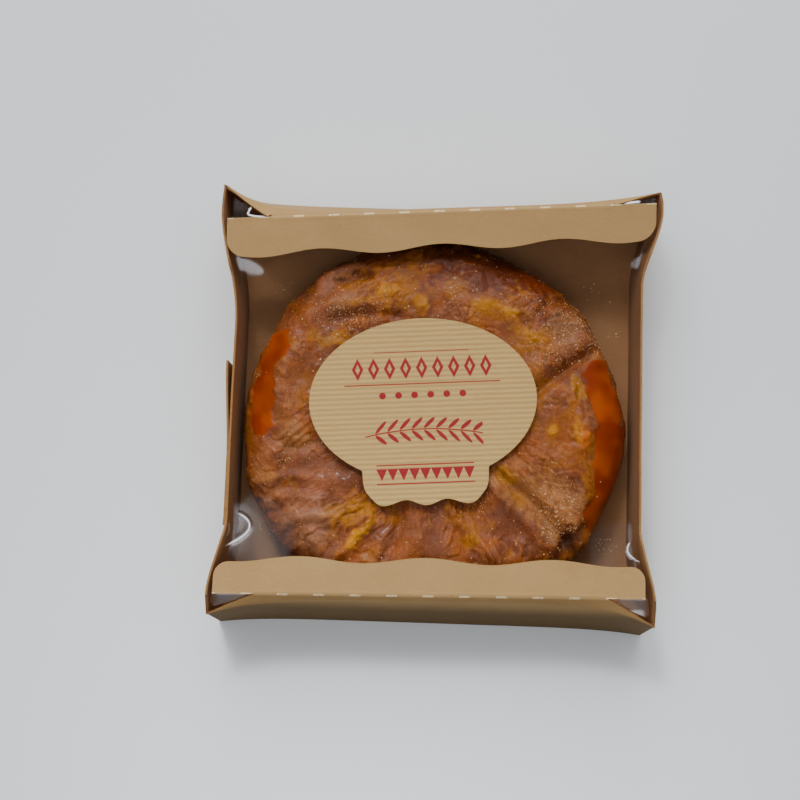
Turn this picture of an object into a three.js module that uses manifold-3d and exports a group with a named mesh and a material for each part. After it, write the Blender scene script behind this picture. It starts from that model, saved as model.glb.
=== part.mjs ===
// A kouign amann in its window carton: a round caramelised butter cake in a shallow tray of kraft card, under a
// clear film that two wavy-edged flaps hold down, with an oval paper label on the film.
// Millimetres. The pack lies on its back: +Z points out of the window, +Y to the top flap, +X to the right.
import * as THREE from "three";
import { mergeVertices } from "three/addons/utils/BufferGeometryUtils.js";
import Module from "manifold-3d";

const { clamp, lerp, smoothstep } = THREE.MathUtils;
const wasm = await Module();
wasm.setup();

// Carton
const CARD = 0.9; // thickness of the kraft card
const DEPTH = 46; // back of the tray to the folds of the flaps
const BACK_HALF_LENGTH = 104.2; // the back panel along Y, at its corners
const BACK_BOW = 2.4; // its ends curve in this much along the middle
const END_HALF_WIDTH = 101.4; // the tray is widest at its two ends
const TOP_FLARE = 1.8; // and at the front of the top end wider still
const WAIST_INSET = 7; // how far the film's pull draws each side wall in
const WAIST_START = { topLeft: 34, rest: 55 };
const WAIST_END = 92;
const SIDE_MID_HEIGHT = 43; // the side walls are lower along the window
const SIDE_RISE_START = 62;
const SIDE_RISE_END = 78;
const SIDE_TAB = { from: -60, to: 16, standOff: 2.2, gluedTo: -30, foot: 2 };
// Each end wall folds over at y, and its ears reach out to tip; both lines slope along X.
const TOP_END = { y: 88.9, slope: 0.063, tip: 101.5, tipSlope: 0.008 };
const BOTTOM_END = { y: -89.2, slope: 0.019, tip: -100.2, tipSlope: 0.003 };
const EAR_X = 79.5; // beyond this the flap is cut free of the end wall
const EAR_TIP_Z = 40;
const CREASE_GAP = 2; // fold to buckled crease, at the middle of an end wall
const CREASE_Z = 43.5;

// Flaps
const FLAP_CORNER = 7.5;
const FLAP_DROP = 1 / 17; // the free edge lies this share of its reach lower than the fold
const TOP_FLAP = { centre: 0, halfWidth: 99.8, reach: 17, skew: -0.005, wave: 1.6, period: 56, crest: 28.5 };
const BOTTOM_FLAP = { centre: -1, halfWidth: 97.2, reach: 15.7, skew: -0.002, wave: 1.4, period: 57.2, crest: -2.4 };

// Film and label
const FILM = 0.3;
const GAP = 0.35; // clearance between neighbouring pieces
const FILM_Z = 42.6; // top face over the middle of the cake
const FILM_RISE = 1.1; // it climbs this much to the flaps
const FILM_CURL = { width: 5, drop: 2.4 };
const EAR_FILM = { slope: 0.3, extra: 0.45, within: 5 }; // its fall inside the corner openings, steeper at first
const LABEL = 0.25;
const LABEL_CENTRE = { x: -6, y: 0.3 };
const LABEL_TURN = THREE.MathUtils.degToRad(3.9);
const LABEL_HALF_WIDTH = 52.4;
const LABEL_HALF_HEIGHT = 38.1;
const LABEL_SIDES = 66;
const LOBE = { halfWidth: 29, bottom: 47.2, scallop: 1.3, scallopWidth: 19.3, squareness: 9 };

// Cake
const CAKE_CENTRE = { x: -1.2, y: -9.6 };
const CAKE_RADIUS = 89.8;
const CAKE_BASE = CARD + GAP;
const CAKE_TOP = 37.4;
const CAKE_CROWN = 0.8;
const WIDEST_Z = 17;
const RIM = 17; // plan width of the rounded shoulder
const FOOT = 9; // plan width of the undercut below the widest line
const PRESS_START = 40.3; // above this the film flattens the crust
const PRESS_SHARE = 0.4;
const CAKE_SIDES = 100;
const RELIEF_SEED = 11;
// Folds of the laminated dough, each a ridge (or, with a negative height, a crease) along a bent line.
const FOLDS = [
  { from: [-57, 53], via: [-50, 64], to: [-35, 65], width: 3.2, height: 2.8 }, // torn flake
  { from: [-47, 57], via: [-41, 61], to: [-33, 60], width: 2.6, height: -4.2 }, // hollow under it
  { from: [-66, 37], via: [-52, 48], to: [-28, 47], width: 6, height: 1.8 },
  { from: [-50, 37], via: [-35, 42], to: [-17, 40], width: 2.4, height: -1.8 },
  { from: [-26, 60], via: [-16, 50], to: [-8, 42], width: 7, height: 1.5 },
  { from: [-4, 62], via: [20, 66], to: [50, 52], width: 8, height: -1.2 }, // dark caramel sink
  { from: [22, 48], via: [34, 45], to: [46, 40], width: 5, height: 1.6 },
  { from: [47, 43], via: [51, 51], to: [61, 50], width: 2.4, height: -2 },
  { from: [54, 47], via: [65, 42], to: [73, 26], width: 6, height: 2.2 },
  { from: [44, 12], via: [54, 22], to: [68, 32], width: 4, height: 1.5 },
  { from: [46, 5], via: [57, 15], to: [73, 27], width: 2.4, height: -3.2 },
  { from: [68, 21], via: [90, -8], to: [76, -53], width: 9, height: -1.9 }, // right caramel pool
  { from: [55, 9], via: [74, -6], to: [62, -32], width: 7, height: 1.9 }, // lumps beside it
  { from: [-72, 31], via: [-88, 8], to: [-79, -15], width: 7, height: -1.9 }, // left caramel pool
  { from: [-68, 27], via: [-76, 2], to: [-60, -21], width: 6, height: 1.8 },
  { from: [-76, -18], via: [-66, -26], to: [-54, -20], width: 3, height: -1.8 },
  { from: [-80, -40], via: [-70, -35], to: [-58, -37], width: 2.6, height: 1.5 },
  { from: [-77, -50], via: [-66, -43], to: [-52, -47], width: 2.6, height: 1.6 },
  { from: [-70, -60], via: [-60, -52], to: [-46, -56], width: 3, height: 1.7 },
  { from: [-43, -73], via: [-36, -66], to: [-29, -57], width: 2.8, height: 2.3 },
  { from: [-22, -74], via: [-14, -62], to: [-15, -49], width: 2.6, height: -2.4 },
  { from: [-14, -76], via: [-4, -62], to: [-6, -50], width: 5, height: 1.5 },
  { from: [7, -47], via: [15, -61], to: [32, -73], width: 3.2, height: 1.9 },
  { from: [27, -39], via: [42, -53], to: [59, -70], width: 3.2, height: 1.9 },
  { from: [28, -32], via: [47, -45], to: [65, -66], width: 2.4, height: -2.6 },
  { from: [30, -26], via: [50, -40], to: [70, -60], width: 3.4, height: 2.2 },
  { from: [60, -67], via: [64, -63], to: [70, -57], width: 3, height: -5 }, // hollow under a lifted flake
];

// Colours of the materials
const KRAFT = 0xb79a74;
const CRUST = 0x8e5226;
const PAPER = 0xb89c74;

// A steady pseudo-random number from 0 to 1 for each corner of a square grid.
function cornerValue(ix, iy, seed) {
  let h = Math.imul(ix, 374761393) + Math.imul(iy, 668265263) + Math.imul(seed, 1274126177);
  h = Math.imul(h ^ (h >>> 13), 1274126177);
  return ((h ^ (h >>> 16)) >>> 0) / 4294967296;
}

// Smooth noise from -1 to 1 whose lumps are about one cell across.
function noise(x, y, cell, seed) {
  const ix = Math.floor(x / cell);
  const iy = Math.floor(y / cell);
  const fx = smoothstep(x / cell - ix, 0, 1);
  const fy = smoothstep(y / cell - iy, 0, 1);
  const low = lerp(cornerValue(ix, iy, seed), cornerValue(ix + 1, iy, seed), fx);
  const high = lerp(cornerValue(ix, iy + 1, seed), cornerValue(ix + 1, iy + 1, seed), fx);
  return 2 * lerp(low, high, fy) - 1;
}

// A BufferGeometry from a list of [x, y, z] points and a list of triangles of their indices.
function geometryOf(points, triangles) {
  const geometry = new THREE.BufferGeometry();
  geometry.setAttribute("position", new THREE.Float32BufferAttribute(points.flat(), 3));
  geometry.setIndex(triangles.flat());
  return geometry;
}

// A closed sheet between two surfaces over the same stations across (u) and along (v). outer(u, v) and
// inner(u, v) give [x, y, z], and u cross v points out of the outer surface.
function sheet(across, along, outer, inner) {
  const points = [];
  for (const face of [outer, inner]) {
    for (const v of along) {
      for (const u of across) points.push(face(u, v));
    }
  }
  const n = across.length;
  const layer = n * along.length;
  const triangles = [];
  const quad = (a, b, c, d) => triangles.push([a, b, c], [a, c, d]);
  for (let j = 0; j + 1 < along.length; j += 1) {
    for (let i = 0; i + 1 < n; i += 1) {
      const a = j * n + i;
      quad(a, a + 1, a + n + 1, a + n);
      quad(layer + a, layer + a + n, layer + a + n + 1, layer + a + 1);
    }
    const left = j * n;
    const right = left + n - 1;
    quad(left, left + n, layer + left + n, layer + left);
    quad(right, layer + right, layer + right + n, right + n);
  }
  const last = layer - n;
  for (let i = 0; i + 1 < n; i += 1) {
    quad(i, layer + i, layer + i + 1, i + 1);
    quad(last + i, last + i + 1, layer + last + i + 1, layer + last + i);
  }
  return geometryOf(points, triangles);
}

// Rings of points from a pole on top to a pole underneath, closed into one body. ringPoint(i, angle) gives [x, y, z].
function ringBody(topPole, bottomPole, rings, sides, ringPoint) {
  const points = [topPole, bottomPole];
  for (let j = 0; j < rings; j += 1) {
    for (let i = 0; i < sides; i += 1) points.push(ringPoint(j, (i / sides) * 2 * Math.PI));
  }
  const at = (j, i) => 2 + j * sides + (i % sides);
  const triangles = [];
  for (let i = 0; i < sides; i += 1) {
    triangles.push([0, at(0, i), at(0, i + 1)]);
    triangles.push([1, at(rings - 1, i + 1), at(rings - 1, i)]);
    for (let j = 0; j + 1 < rings; j += 1) {
      triangles.push([at(j, i), at(j + 1, i), at(j + 1, i + 1)]);
      triangles.push([at(j, i), at(j + 1, i + 1), at(j, i + 1)]);
    }
  }
  return geometryOf(points, triangles);
}

function toSolid(geometry) {
  const plain = geometry.clone();
  plain.deleteAttribute("normal");
  plain.deleteAttribute("uv");
  const merged = mergeVertices(plain, 1e-4);
  const mesh = new wasm.Mesh({
    numProp: 3,
    vertProperties: merged.attributes.position.array,
    triVerts: new Uint32Array(merged.index.array),
  });
  const solid = new wasm.Manifold(mesh);
  if (solid.volume() > 0) return solid;
  // A mirrored sheet comes out inside out, so its triangles are turned round.
  const turned = new Uint32Array(merged.index.array);
  for (let i = 0; i < turned.length; i += 3) [turned[i + 1], turned[i + 2]] = [turned[i + 2], turned[i + 1]];
  return new wasm.Manifold(
    new wasm.Mesh({ numProp: 3, vertProperties: merged.attributes.position.array, triVerts: turned }),
  );
}

function joined(geometries) {
  const whole = geometries.map(toSolid).reduce((sum, solid) => sum.add(solid)).simplify(0.02);
  const { vertProperties, triVerts } = whole.getMesh();
  const geometry = new THREE.BufferGeometry();
  geometry.setAttribute("position", new THREE.BufferAttribute(new Float32Array(vertProperties), 3));
  geometry.setIndex(new THREE.BufferAttribute(new Uint32Array(triVerts), 1));
  return geometry;
}

function node(name, geometry, material) {
  const facets = geometry.toNonIndexed();
  facets.computeVertexNormals();
  const mesh = new THREE.Mesh(facets, material);
  mesh.name = name;
  return mesh;
}

function steps(from, to, count) {
  return Array.from({ length: count + 1 }, (_, i) => lerp(from, to, i / count));
}

// ---- Carton ----

// Outer half width of the tray on one side at a height: full at the ends, drawn in along the window.
function halfWidth(side, y, z) {
  const front = z / DEPTH;
  const waist = side < 0 && y > 0 ? WAIST_START.topLeft : WAIST_START.rest;
  const full = smoothstep(Math.abs(y), lerp(waist + 10, waist, front), lerp(BACK_HALF_LENGTH, WAIST_END, front));
  return END_HALF_WIDTH - WAIST_INSET * (1 - full) + full * flare(y, z);
}

function flare(y, z) {
  return y > 0 ? (TOP_FLARE * z) / DEPTH : 0;
}

// How far across an end wall a point is, from 0 in the middle to 1 at its corners.
function outward(x) {
  return clamp(Math.abs(x) / END_HALF_WIDTH, 0, 1);
}

function foldY(end, x) {
  const wall = end > 0 ? TOP_END : BOTTOM_END;
  return wall.y + wall.slope * x;
}

function tipY(end, x) {
  const wall = end > 0 ? TOP_END : BOTTOM_END;
  return wall.tip + wall.tipSlope * x;
}

function backY(end, x) {
  return end * (BACK_HALF_LENGTH - BACK_BOW * (1 - outward(x) ** 6));
}

// Where an end wall buckles: close to the fold in the middle, out to the tips of the ears at the sides.
function creaseY(end, x) {
  return lerp(foldY(end, x) + end * CREASE_GAP, tipY(end, x), outward(x) ** 5);
}

function creaseZ(x) {
  return lerp(CREASE_Z, EAR_TIP_Z, outward(x) ** 2);
}

// The upper edge of an end wall: the fold, then the cut that slopes down to the tip of the ear.
function wallTop(end, x) {
  const cut = clamp((Math.abs(x) - EAR_X) / (END_HALF_WIDTH - EAR_X), 0, 1);
  const y = lerp(foldY(end, x), creaseY(end, x), cut);
  return [y, lerp(DEPTH, creaseZ(x), cut)];
}

// An end wall, from the back edge (v 0) by the crease (v 1) to its upper edge (v 2).
function endWall(end) {
  const across = [...steps(-1, -EAR_X / END_HALF_WIDTH, 4), ...steps(-0.7, 0.7, 14)];
  across.push(...steps(EAR_X / END_HALF_WIDTH, 1, 4));
  const face = (inset) => (u, v) => {
    const x = u * (END_HALF_WIDTH - CARD / 2);
    const crease = [creaseY(end, x), creaseZ(x)];
    const top = wallTop(end, x);
    const back = [backY(end, x), 0];
    const [y, z] = v <= 1 ? back.map((b, k) => lerp(b, crease[k], v)) : crease.map((c, k) => lerp(c, top[k], v - 1));
    return [x + u * flare(y, z), y - end * inset, z];
  };
  return sheet(across, [0, 0.5, 1, 2], face(0), face(CARD));
}

function sideHeight(y) {
  return lerp(SIDE_MID_HEIGHT, DEPTH - 0.4, smoothstep(Math.abs(y), SIDE_RISE_START, SIDE_RISE_END));
}

// How far a side wall reaches along Y at a height: to the back corner, the tip of the ear, the end of the fold.
function sideReach(side, end, z) {
  const fold = Math.abs(foldY(end, side * END_HALF_WIDTH));
  const tip = Math.abs(tipY(end, side * END_HALF_WIDTH));
  if (z <= EAR_TIP_Z) return lerp(BACK_HALF_LENGTH, tip, z / EAR_TIP_Z);
  return lerp(tip, fold, (z - EAR_TIP_Z) / (DEPTH - EAR_TIP_Z));
}

function sideWall(side) {
  const along = [...steps(-1, -0.5, 12), ...steps(-0.3, 0.3, 3), ...steps(0.5, 1, 12)];
  const heights = [0, 0.3, 0.6, 0.87, 1];
  const face = (inset) => (u, v) => {
    const end = Math.sign(v);
    const nominal = v * BACK_HALF_LENGTH;
    const z = u * sideHeight(nominal);
    const y = v * sideReach(side, end, z);
    return [side * (halfWidth(side, y, z) - inset), y, z];
  };
  return sheet(heights, along, face(0), face(CARD));
}

// The glue tab, lapped over the outside of the left wall and sprung a little off it at its free end.
function sideTab() {
  const face = (lift) => (u, y) => {
    const sprung = SIDE_TAB.standOff * smoothstep(y, SIDE_TAB.gluedTo, SIDE_TAB.to);
    const z = lerp(SIDE_TAB.foot, SIDE_MID_HEIGHT - 0.2, u);
    return [-(halfWidth(-1, y, z) + lift + sprung), y, z];
  };
  return sheet([0, 0.5, 1], steps(SIDE_TAB.from, SIDE_TAB.to, 12), face(CARD - 0.05), face(-0.05));
}

function backPanel() {
  const across = [-1, -0.94, -0.85, -0.5, 0.5, 0.85, 0.94, 1];
  const face = (z) => (u, v) => {
    const y = v * (backY(1, u * END_HALF_WIDTH) - CARD / 2);
    return [u * (halfWidth(Math.sign(u), y, 0) - CARD / 2), y, z];
  };
  return sheet(across, steps(-1, 1, 16), face(CARD), face(0));
}

// Reach of a flap from its fold to its wavy free edge, with rounded outer corners.
function flapReach(shape, x) {
  const swing = shape.wave * Math.cos((2 * Math.PI * (x - shape.crest)) / shape.period);
  const past = clamp(Math.abs(x - shape.centre) - (shape.halfWidth - FLAP_CORNER), 0, FLAP_CORNER);
  const corner = FLAP_CORNER - Math.sqrt(FLAP_CORNER ** 2 - past ** 2);
  return shape.reach + shape.skew * x + swing - corner;
}

function flap(end) {
  const shape = end > 0 ? TOP_FLAP : BOTTOM_FLAP;
  const straight = shape.halfWidth - FLAP_CORNER;
  const corner = steps(0, Math.PI / 2, 5).map((a) => straight + FLAP_CORNER * Math.sin(a));
  const across = [...corner.map((x) => -x).reverse(), ...steps(-straight, straight, 40).slice(1, -1), ...corner];
  const face = (inset) => (u, v) => {
    const x = shape.centre + u;
    const reach = lerp(CARD / 2, flapReach(shape, x), v);
    return [x, foldY(end, x) - end * reach, DEPTH - inset - FLAP_DROP * reach];
  };
  return sheet(across, [0, 1], face(0), face(CARD));
}

function carton() {
  const pieces = [backPanel(), sideTab()];
  for (const direction of [-1, 1]) pieces.push(sideWall(direction), endWall(direction), flap(direction));
  return joined(pieces);
}

// ---- Film window and label ----

// How far the film passes the fold: it stays inside along the fold, and fills the corner openings.
function filmPast(end, x) {
  const open = smoothstep(Math.abs(x), EAR_X - 2, EAR_X + 8);
  const opening = Math.abs(creaseY(end, x)) - Math.abs(foldY(end, x)) - CARD - GAP - 1.4;
  return lerp(-1.6, opening, open);
}

function filmTop(x, y) {
  const end = y > 0 ? 1 : -1;
  const past = Math.max(0, Math.abs(y) - Math.abs(foldY(end, x)));
  const rise = FILM_RISE * smoothstep(Math.abs(y), 20, 72) + 0.5 * smoothstep(Math.abs(y), 74, 88);
  const edge = halfWidth(Math.sign(x), y, SIDE_MID_HEIGHT) - CARD - GAP;
  const curl = clamp((Math.abs(x) - (edge - FILM_CURL.width)) / FILM_CURL.width, 0, 1);
  const fall = EAR_FILM.slope * past + EAR_FILM.extra * Math.min(past, EAR_FILM.within);
  return FILM_Z + rise - FILM_CURL.drop * curl ** 2 - fall;
}

function filmWindow() {
  const across = [...steps(-1, -0.75, 5), ...steps(-0.6, 0.6, 4), ...steps(0.75, 1, 5)];
  const along = [...steps(-1, -0.55, 8), ...steps(-0.3, 0.3, 2), ...steps(0.55, 1, 8)];
  const face = (inset) => (u, v) => {
    const end = v > 0 ? 1 : -1;
    const nominal = v * Math.abs(foldY(end, u * END_HALF_WIDTH));
    const edge = halfWidth(Math.sign(u), nominal, SIDE_MID_HEIGHT) - CARD - GAP;
    const x = u * edge;
    const y = end * Math.abs(v) * (Math.abs(foldY(end, x)) + filmPast(end, x));
    const inside = Math.sign(x) * Math.min(Math.abs(x), halfWidth(Math.sign(x), y, SIDE_MID_HEIGHT) - CARD - GAP);
    return [inside, y, filmTop(inside, y) - inset];
  };
  return sheet(across, along, face(0), face(FILM));
}

// Distance from the label's centre to its cut edge: an oval, and below it a wide lobe with a scalloped edge.
function labelReach(angle) {
  const c = Math.cos(angle);
  const s = Math.sin(angle);
  const oval = 1 / Math.hypot(c / LABEL_HALF_WIDTH, s / LABEL_HALF_HEIGHT);
  if (s > 0) return oval;
  const across = (LOBE.bottom * c) / Math.max(-s, 0.2);
  const bottom = LOBE.bottom + LOBE.scallop * Math.cos((2 * Math.PI * across) / LOBE.scallopWidth);
  const n = LOBE.squareness;
  const lobe = 1 / (Math.abs(c / LOBE.halfWidth) ** n + Math.abs(s / bottom) ** n) ** (1 / n);
  return Math.max(oval, lobe);
}

function label() {
  const rings = [0.35, 0.7, 1, 1, 0.7, 0.35];
  const upperRings = 3;
  const point = (reach, angle, lift) => {
    const x = LABEL_CENTRE.x + reach * Math.cos(angle + LABEL_TURN);
    const y = LABEL_CENTRE.y + reach * Math.sin(angle + LABEL_TURN);
    return [x, y, filmTop(x, y) + GAP + lift];
  };
  return ringBody(point(0, 0, LABEL), point(0, 0, 0), rings.length, LABEL_SIDES, (j, angle) =>
    point(rings[j] * labelReach(angle), angle, j < upperRings ? LABEL : 0),
  );
}

// ---- Cake ----

// Height of one fold at a point: a bell across the line, fading towards both of its ends.
function foldHeight(fold, x, y) {
  const samples = 10;
  let best = Infinity;
  let where = 0;
  for (const t of steps(0, 1, samples)) {
    const [px, py] = fold.from.map((a, k) => (1 - t) ** 2 * a + 2 * t * (1 - t) * fold.via[k] + t ** 2 * fold.to[k]);
    const distance = Math.hypot(x - px, y - py);
    if (distance < best) {
      best = distance;
      where = t;
    }
  }
  const fade = smoothstep(where, -0.25, 0.15) * (1 - smoothstep(where, 0.85, 1.25));
  return fold.height * fade * Math.exp(-((best / fold.width) ** 2));
}

// Lift of the crust above the plain profile, at a plan position and at its place on the unrolled surface.
function crustRelief(x, y, unrolledX, unrolledY) {
  const folds = FOLDS.reduce((sum, fold) => sum + foldHeight(fold, x, y), 0);
  const lumps = 1.1 * noise(unrolledX, unrolledY, 15, RELIEF_SEED);
  return folds + lumps + 0.6 * noise(unrolledX, unrolledY, 7, RELIEF_SEED + 1);
}

// Outline of the cake: nearly round, with a few slow swells.
function cakeRadius(angle) {
  return CAKE_RADIUS + 0.7 * Math.cos(2 * angle + 0.6) + 0.9 * Math.cos(3 * angle + 0.79) + 0.4 * Math.cos(7 * angle);
}

// The radial profile, from the middle of the top round the shoulder and under the foot. Each stage gives the
// distance in from the outline (null on the flat top), the height and the outward direction.
function cakeProfile() {
  const stages = [];
  const topRings = 22;
  for (let i = 1; i <= topRings; i += 1) stages.push({ share: i / topRings, out: 0, up: 1, run: 0 });
  for (const a of steps(0, Math.PI / 2, 7).slice(1)) {
    const inset = RIM * (1 - Math.sin(a));
    const z = WIDEST_Z + (CAKE_TOP - WIDEST_Z) * Math.cos(a);
    stages.push({ inset, z, out: Math.sin(a), up: Math.cos(a), run: (RIM + CAKE_TOP - WIDEST_Z) * 0.5 * a });
  }
  const shoulderRun = (RIM + CAKE_TOP - WIDEST_Z) * 0.25 * Math.PI;
  for (const a of steps(0, Math.PI / 2, 4).slice(1)) {
    const inset = FOOT * (1 - Math.cos(a));
    const z = WIDEST_Z - (WIDEST_Z - CAKE_BASE) * Math.sin(a);
    stages.push({ inset, z, out: Math.cos(a), up: 0, run: shoulderRun + 14 * a });
  }
  return stages;
}

// The tray walls stop the cake from spreading, so its outline is pressed flat where it meets them.
function insideTray(x, y, z) {
  const low = lerp(backY(-1, x), creaseY(-1, x), clamp(z / creaseZ(x), 0, 1)) + CARD + GAP;
  const side = halfWidth(Math.sign(x), y, z) - CARD - GAP;
  return [clamp(x, -side, side), Math.max(y, low)];
}

function kouignAmann() {
  const stages = cakeProfile();
  const ringPoint = (j, angle) => {
    const stage = stages[j];
    const radius = cakeRadius(angle);
    const flat = radius - RIM;
    const reach = stage.share === undefined ? radius - stage.inset : stage.share * flat;
    const unrolled = stage.share === undefined ? flat + stage.run : reach;
    const x = CAKE_CENTRE.x + reach * Math.cos(angle);
    const y = CAKE_CENTRE.y + reach * Math.sin(angle);
    const lift = crustRelief(x, y, unrolled * Math.cos(angle), unrolled * Math.sin(angle));
    const plain = stage.z ?? CAKE_TOP + CAKE_CROWN * (1 - stage.share ** 2);
    const isBase = j === stages.length - 1;
    const z = isBase ? CAKE_BASE : Math.max(CAKE_BASE + 0.4, plain + stage.up * lift);
    const out = isBase ? 0 : stage.out * lift;
    const pressed = z > PRESS_START ? PRESS_START + PRESS_SHARE * (z - PRESS_START) : z;
    const [px, py] = insideTray(x + out * Math.cos(angle), y + out * Math.sin(angle), pressed);
    return [px, py, pressed];
  };
  const lift = crustRelief(CAKE_CENTRE.x, CAKE_CENTRE.y, 0, 0);
  const topPole = [CAKE_CENTRE.x, CAKE_CENTRE.y, CAKE_TOP + CAKE_CROWN + lift];
  const bottomPole = [CAKE_CENTRE.x, CAKE_CENTRE.y, CAKE_BASE];
  return ringBody(topPole, bottomPole, stages.length, CAKE_SIDES, ringPoint);
}

const card = new THREE.MeshStandardMaterial({ color: KRAFT, roughness: 0.85, metalness: 0, flatShading: true });
const crust = new THREE.MeshStandardMaterial({ color: CRUST, roughness: 0.4, metalness: 0 });
const clearFilm = new THREE.MeshStandardMaterial({
  color: 0xffffff,
  roughness: 0.08,
  metalness: 0,
  transparent: true,
  opacity: 0.15,
});
const paper = new THREE.MeshStandardMaterial({ color: PAPER, roughness: 0.7, metalness: 0 });

const pack = new THREE.Group();
const wrapping = new THREE.Group();
wrapping.add(node("carton", carton(), card));
wrapping.add(node("film_window", filmWindow(), clearFilm));
wrapping.add(node("label", label(), paper));
pack.add(wrapping);
pack.add(node("kouign_amann", kouignAmann(), crust));

export default pack;
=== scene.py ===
"""Looks of a kouign amann packed in its window carton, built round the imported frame.

Lengths are in millimetres until piece() puts them into a mesh in metres. The pack lies on its back:
+Z points out of the window, +Y to the top flap and +X to the right.
"""

import math

import bpy
import numpy as np
from mathutils import Matrix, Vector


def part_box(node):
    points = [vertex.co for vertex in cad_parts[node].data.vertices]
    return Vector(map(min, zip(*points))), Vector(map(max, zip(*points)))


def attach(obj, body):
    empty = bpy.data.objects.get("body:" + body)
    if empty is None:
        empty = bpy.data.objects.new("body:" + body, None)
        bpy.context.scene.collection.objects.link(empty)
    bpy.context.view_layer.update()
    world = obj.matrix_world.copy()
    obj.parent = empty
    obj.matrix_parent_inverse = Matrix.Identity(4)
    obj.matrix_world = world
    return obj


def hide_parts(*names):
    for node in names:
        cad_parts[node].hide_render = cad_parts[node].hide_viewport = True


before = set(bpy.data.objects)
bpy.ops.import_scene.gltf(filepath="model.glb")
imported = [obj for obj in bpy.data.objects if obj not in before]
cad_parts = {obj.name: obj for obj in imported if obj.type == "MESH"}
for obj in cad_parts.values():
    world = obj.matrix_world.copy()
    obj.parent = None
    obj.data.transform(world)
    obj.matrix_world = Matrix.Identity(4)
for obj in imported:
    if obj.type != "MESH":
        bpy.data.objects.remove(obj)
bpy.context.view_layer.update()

MM = 0.001
carton_high = np.array(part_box("carton")[1]) / MM
cake_low = np.array(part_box("kouign_amann")[0]) / MM

# ---- Sizes of the pack ----

# The card's thickness, the tray's depth, and the back panel with the bow of its two ends.
CARD = 0.9
DEPTH = carton_high[2]
BACK_HALF_LENGTH = carton_high[1]
BACK_BOW = 2.4
# The tray is END_HALF_WIDTH wide to each side at its ends. Between them its side walls are drawn in by
# WAIST_INSET: from WAIST_START at the window, and from WAIST_START_TOP_LEFT at the upper left.
END_HALF_WIDTH = 101.4
TOP_FLARE = 1.8
WAIST_INSET = 7.0
WAIST_START = 55.0
WAIST_START_TOP_LEFT = 34.0
WAIST_END = 92.0
# Height of the side walls along the window, and where along Y they rise to the full depth.
SIDE_MID_HEIGHT = 43.0
SIDE_RISE = (62.0, 78.0)
# The lapped glue tab on the left wall.
TAB_SPAN = (-60.0, 16.0)
TAB_GLUED_TO = -30.0
TAB_STAND_OFF = 2.2
TAB_FOOT = 2.0
TAB_SUNK = 0.05
# The end walls: the flap's fold and the line of the ears' tips, each straight across the width.
TOP_END = {"fold": 88.9, "slope": 0.063, "tip": 101.5, "tip_slope": 0.008}
BOTTOM_END = {"fold": -89.2, "slope": 0.019, "tip": -100.2, "tip_slope": 0.003}
EAR_X = 79.5
EAR_TIP_Z = 40.0
CREASE_GAP = 2.0
CREASE_Z = 43.5
# The flaps: radius of their outer corners, their fall for each millimetre of reach, and their wavy free
# edges.
FLAP_CORNER = 7.5
FLAP_DROP = 1 / 17
FLAP_KEYS = ("centre", "half", "reach", "skew", "wave", "period", "crest")
TOP_FLAP = dict(zip(FLAP_KEYS, (0.0, 99.8, 17.0, -0.005, 1.6, 56.0, 28.5)))
BOTTOM_FLAP = dict(zip(FLAP_KEYS, (-1.0, 97.2, 15.7, -0.002, 1.4, 57.2, -2.4)))
# Radii of the tray's upright corners, its foot and its folds. SHARP is the radius where the card is cut.
SHARP = 0.05
CORNER_ROUND = 1.3
FOOT_ROUND = 1.1
FOLD_ROUND = 1.3
INSIDE_POINT = np.array([0.0, 0.0, 20.0])

# The film, with its clearance to the card, and the label on it.
GAP = 0.35
FILM_THICKNESS = 0.08
FILM_Z = 42.6
FILM_RISE = 1.1
FILM_CURL_WIDTH = 5.0
FILM_CURL_DROP = 2.4
FILM_CORNER_DIP = 2.2
FILM_SAG = 0.8
FILM_SHORT_OF_FOLD = 1.6
FILM_SHORT_OF_EAR = 1.4
EAR_FILM = {"slope": 0.3, "extra": 0.45, "within": 5.0}
LABEL_CENTRE = np.array([-6.0, 0.3])
LABEL_TURN = math.radians(3.9)
LABEL_HALF = np.array([52.4, 38.1])
LABEL_LIFT = 0.14
LABEL_THICKNESS = 0.2
LOBE = {"half": 29.0, "bottom": 47.2, "scallop": 1.3, "scallop_width": 19.3, "squareness": 9.0}

# The cake. Its outline is rounded over RIM above WIDEST_Z and over FOOT below it. Crests above
# PRESS_START are pressed down to PRESS_SHARE of their height over it.
CAKE_CENTRE = np.array([-1.2, -9.6])
CAKE_RADIUS = 89.8
CAKE_BASE = cake_low[2]
CAKE_TOP = 37.4
CAKE_CROWN = 0.8
WIDEST_Z = 17.0
RIM = 17.0
FOOT = 9.0
PRESS_START = 40.3
PRESS_SHARE = 0.4
RELIEF_SEED = 11

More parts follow.
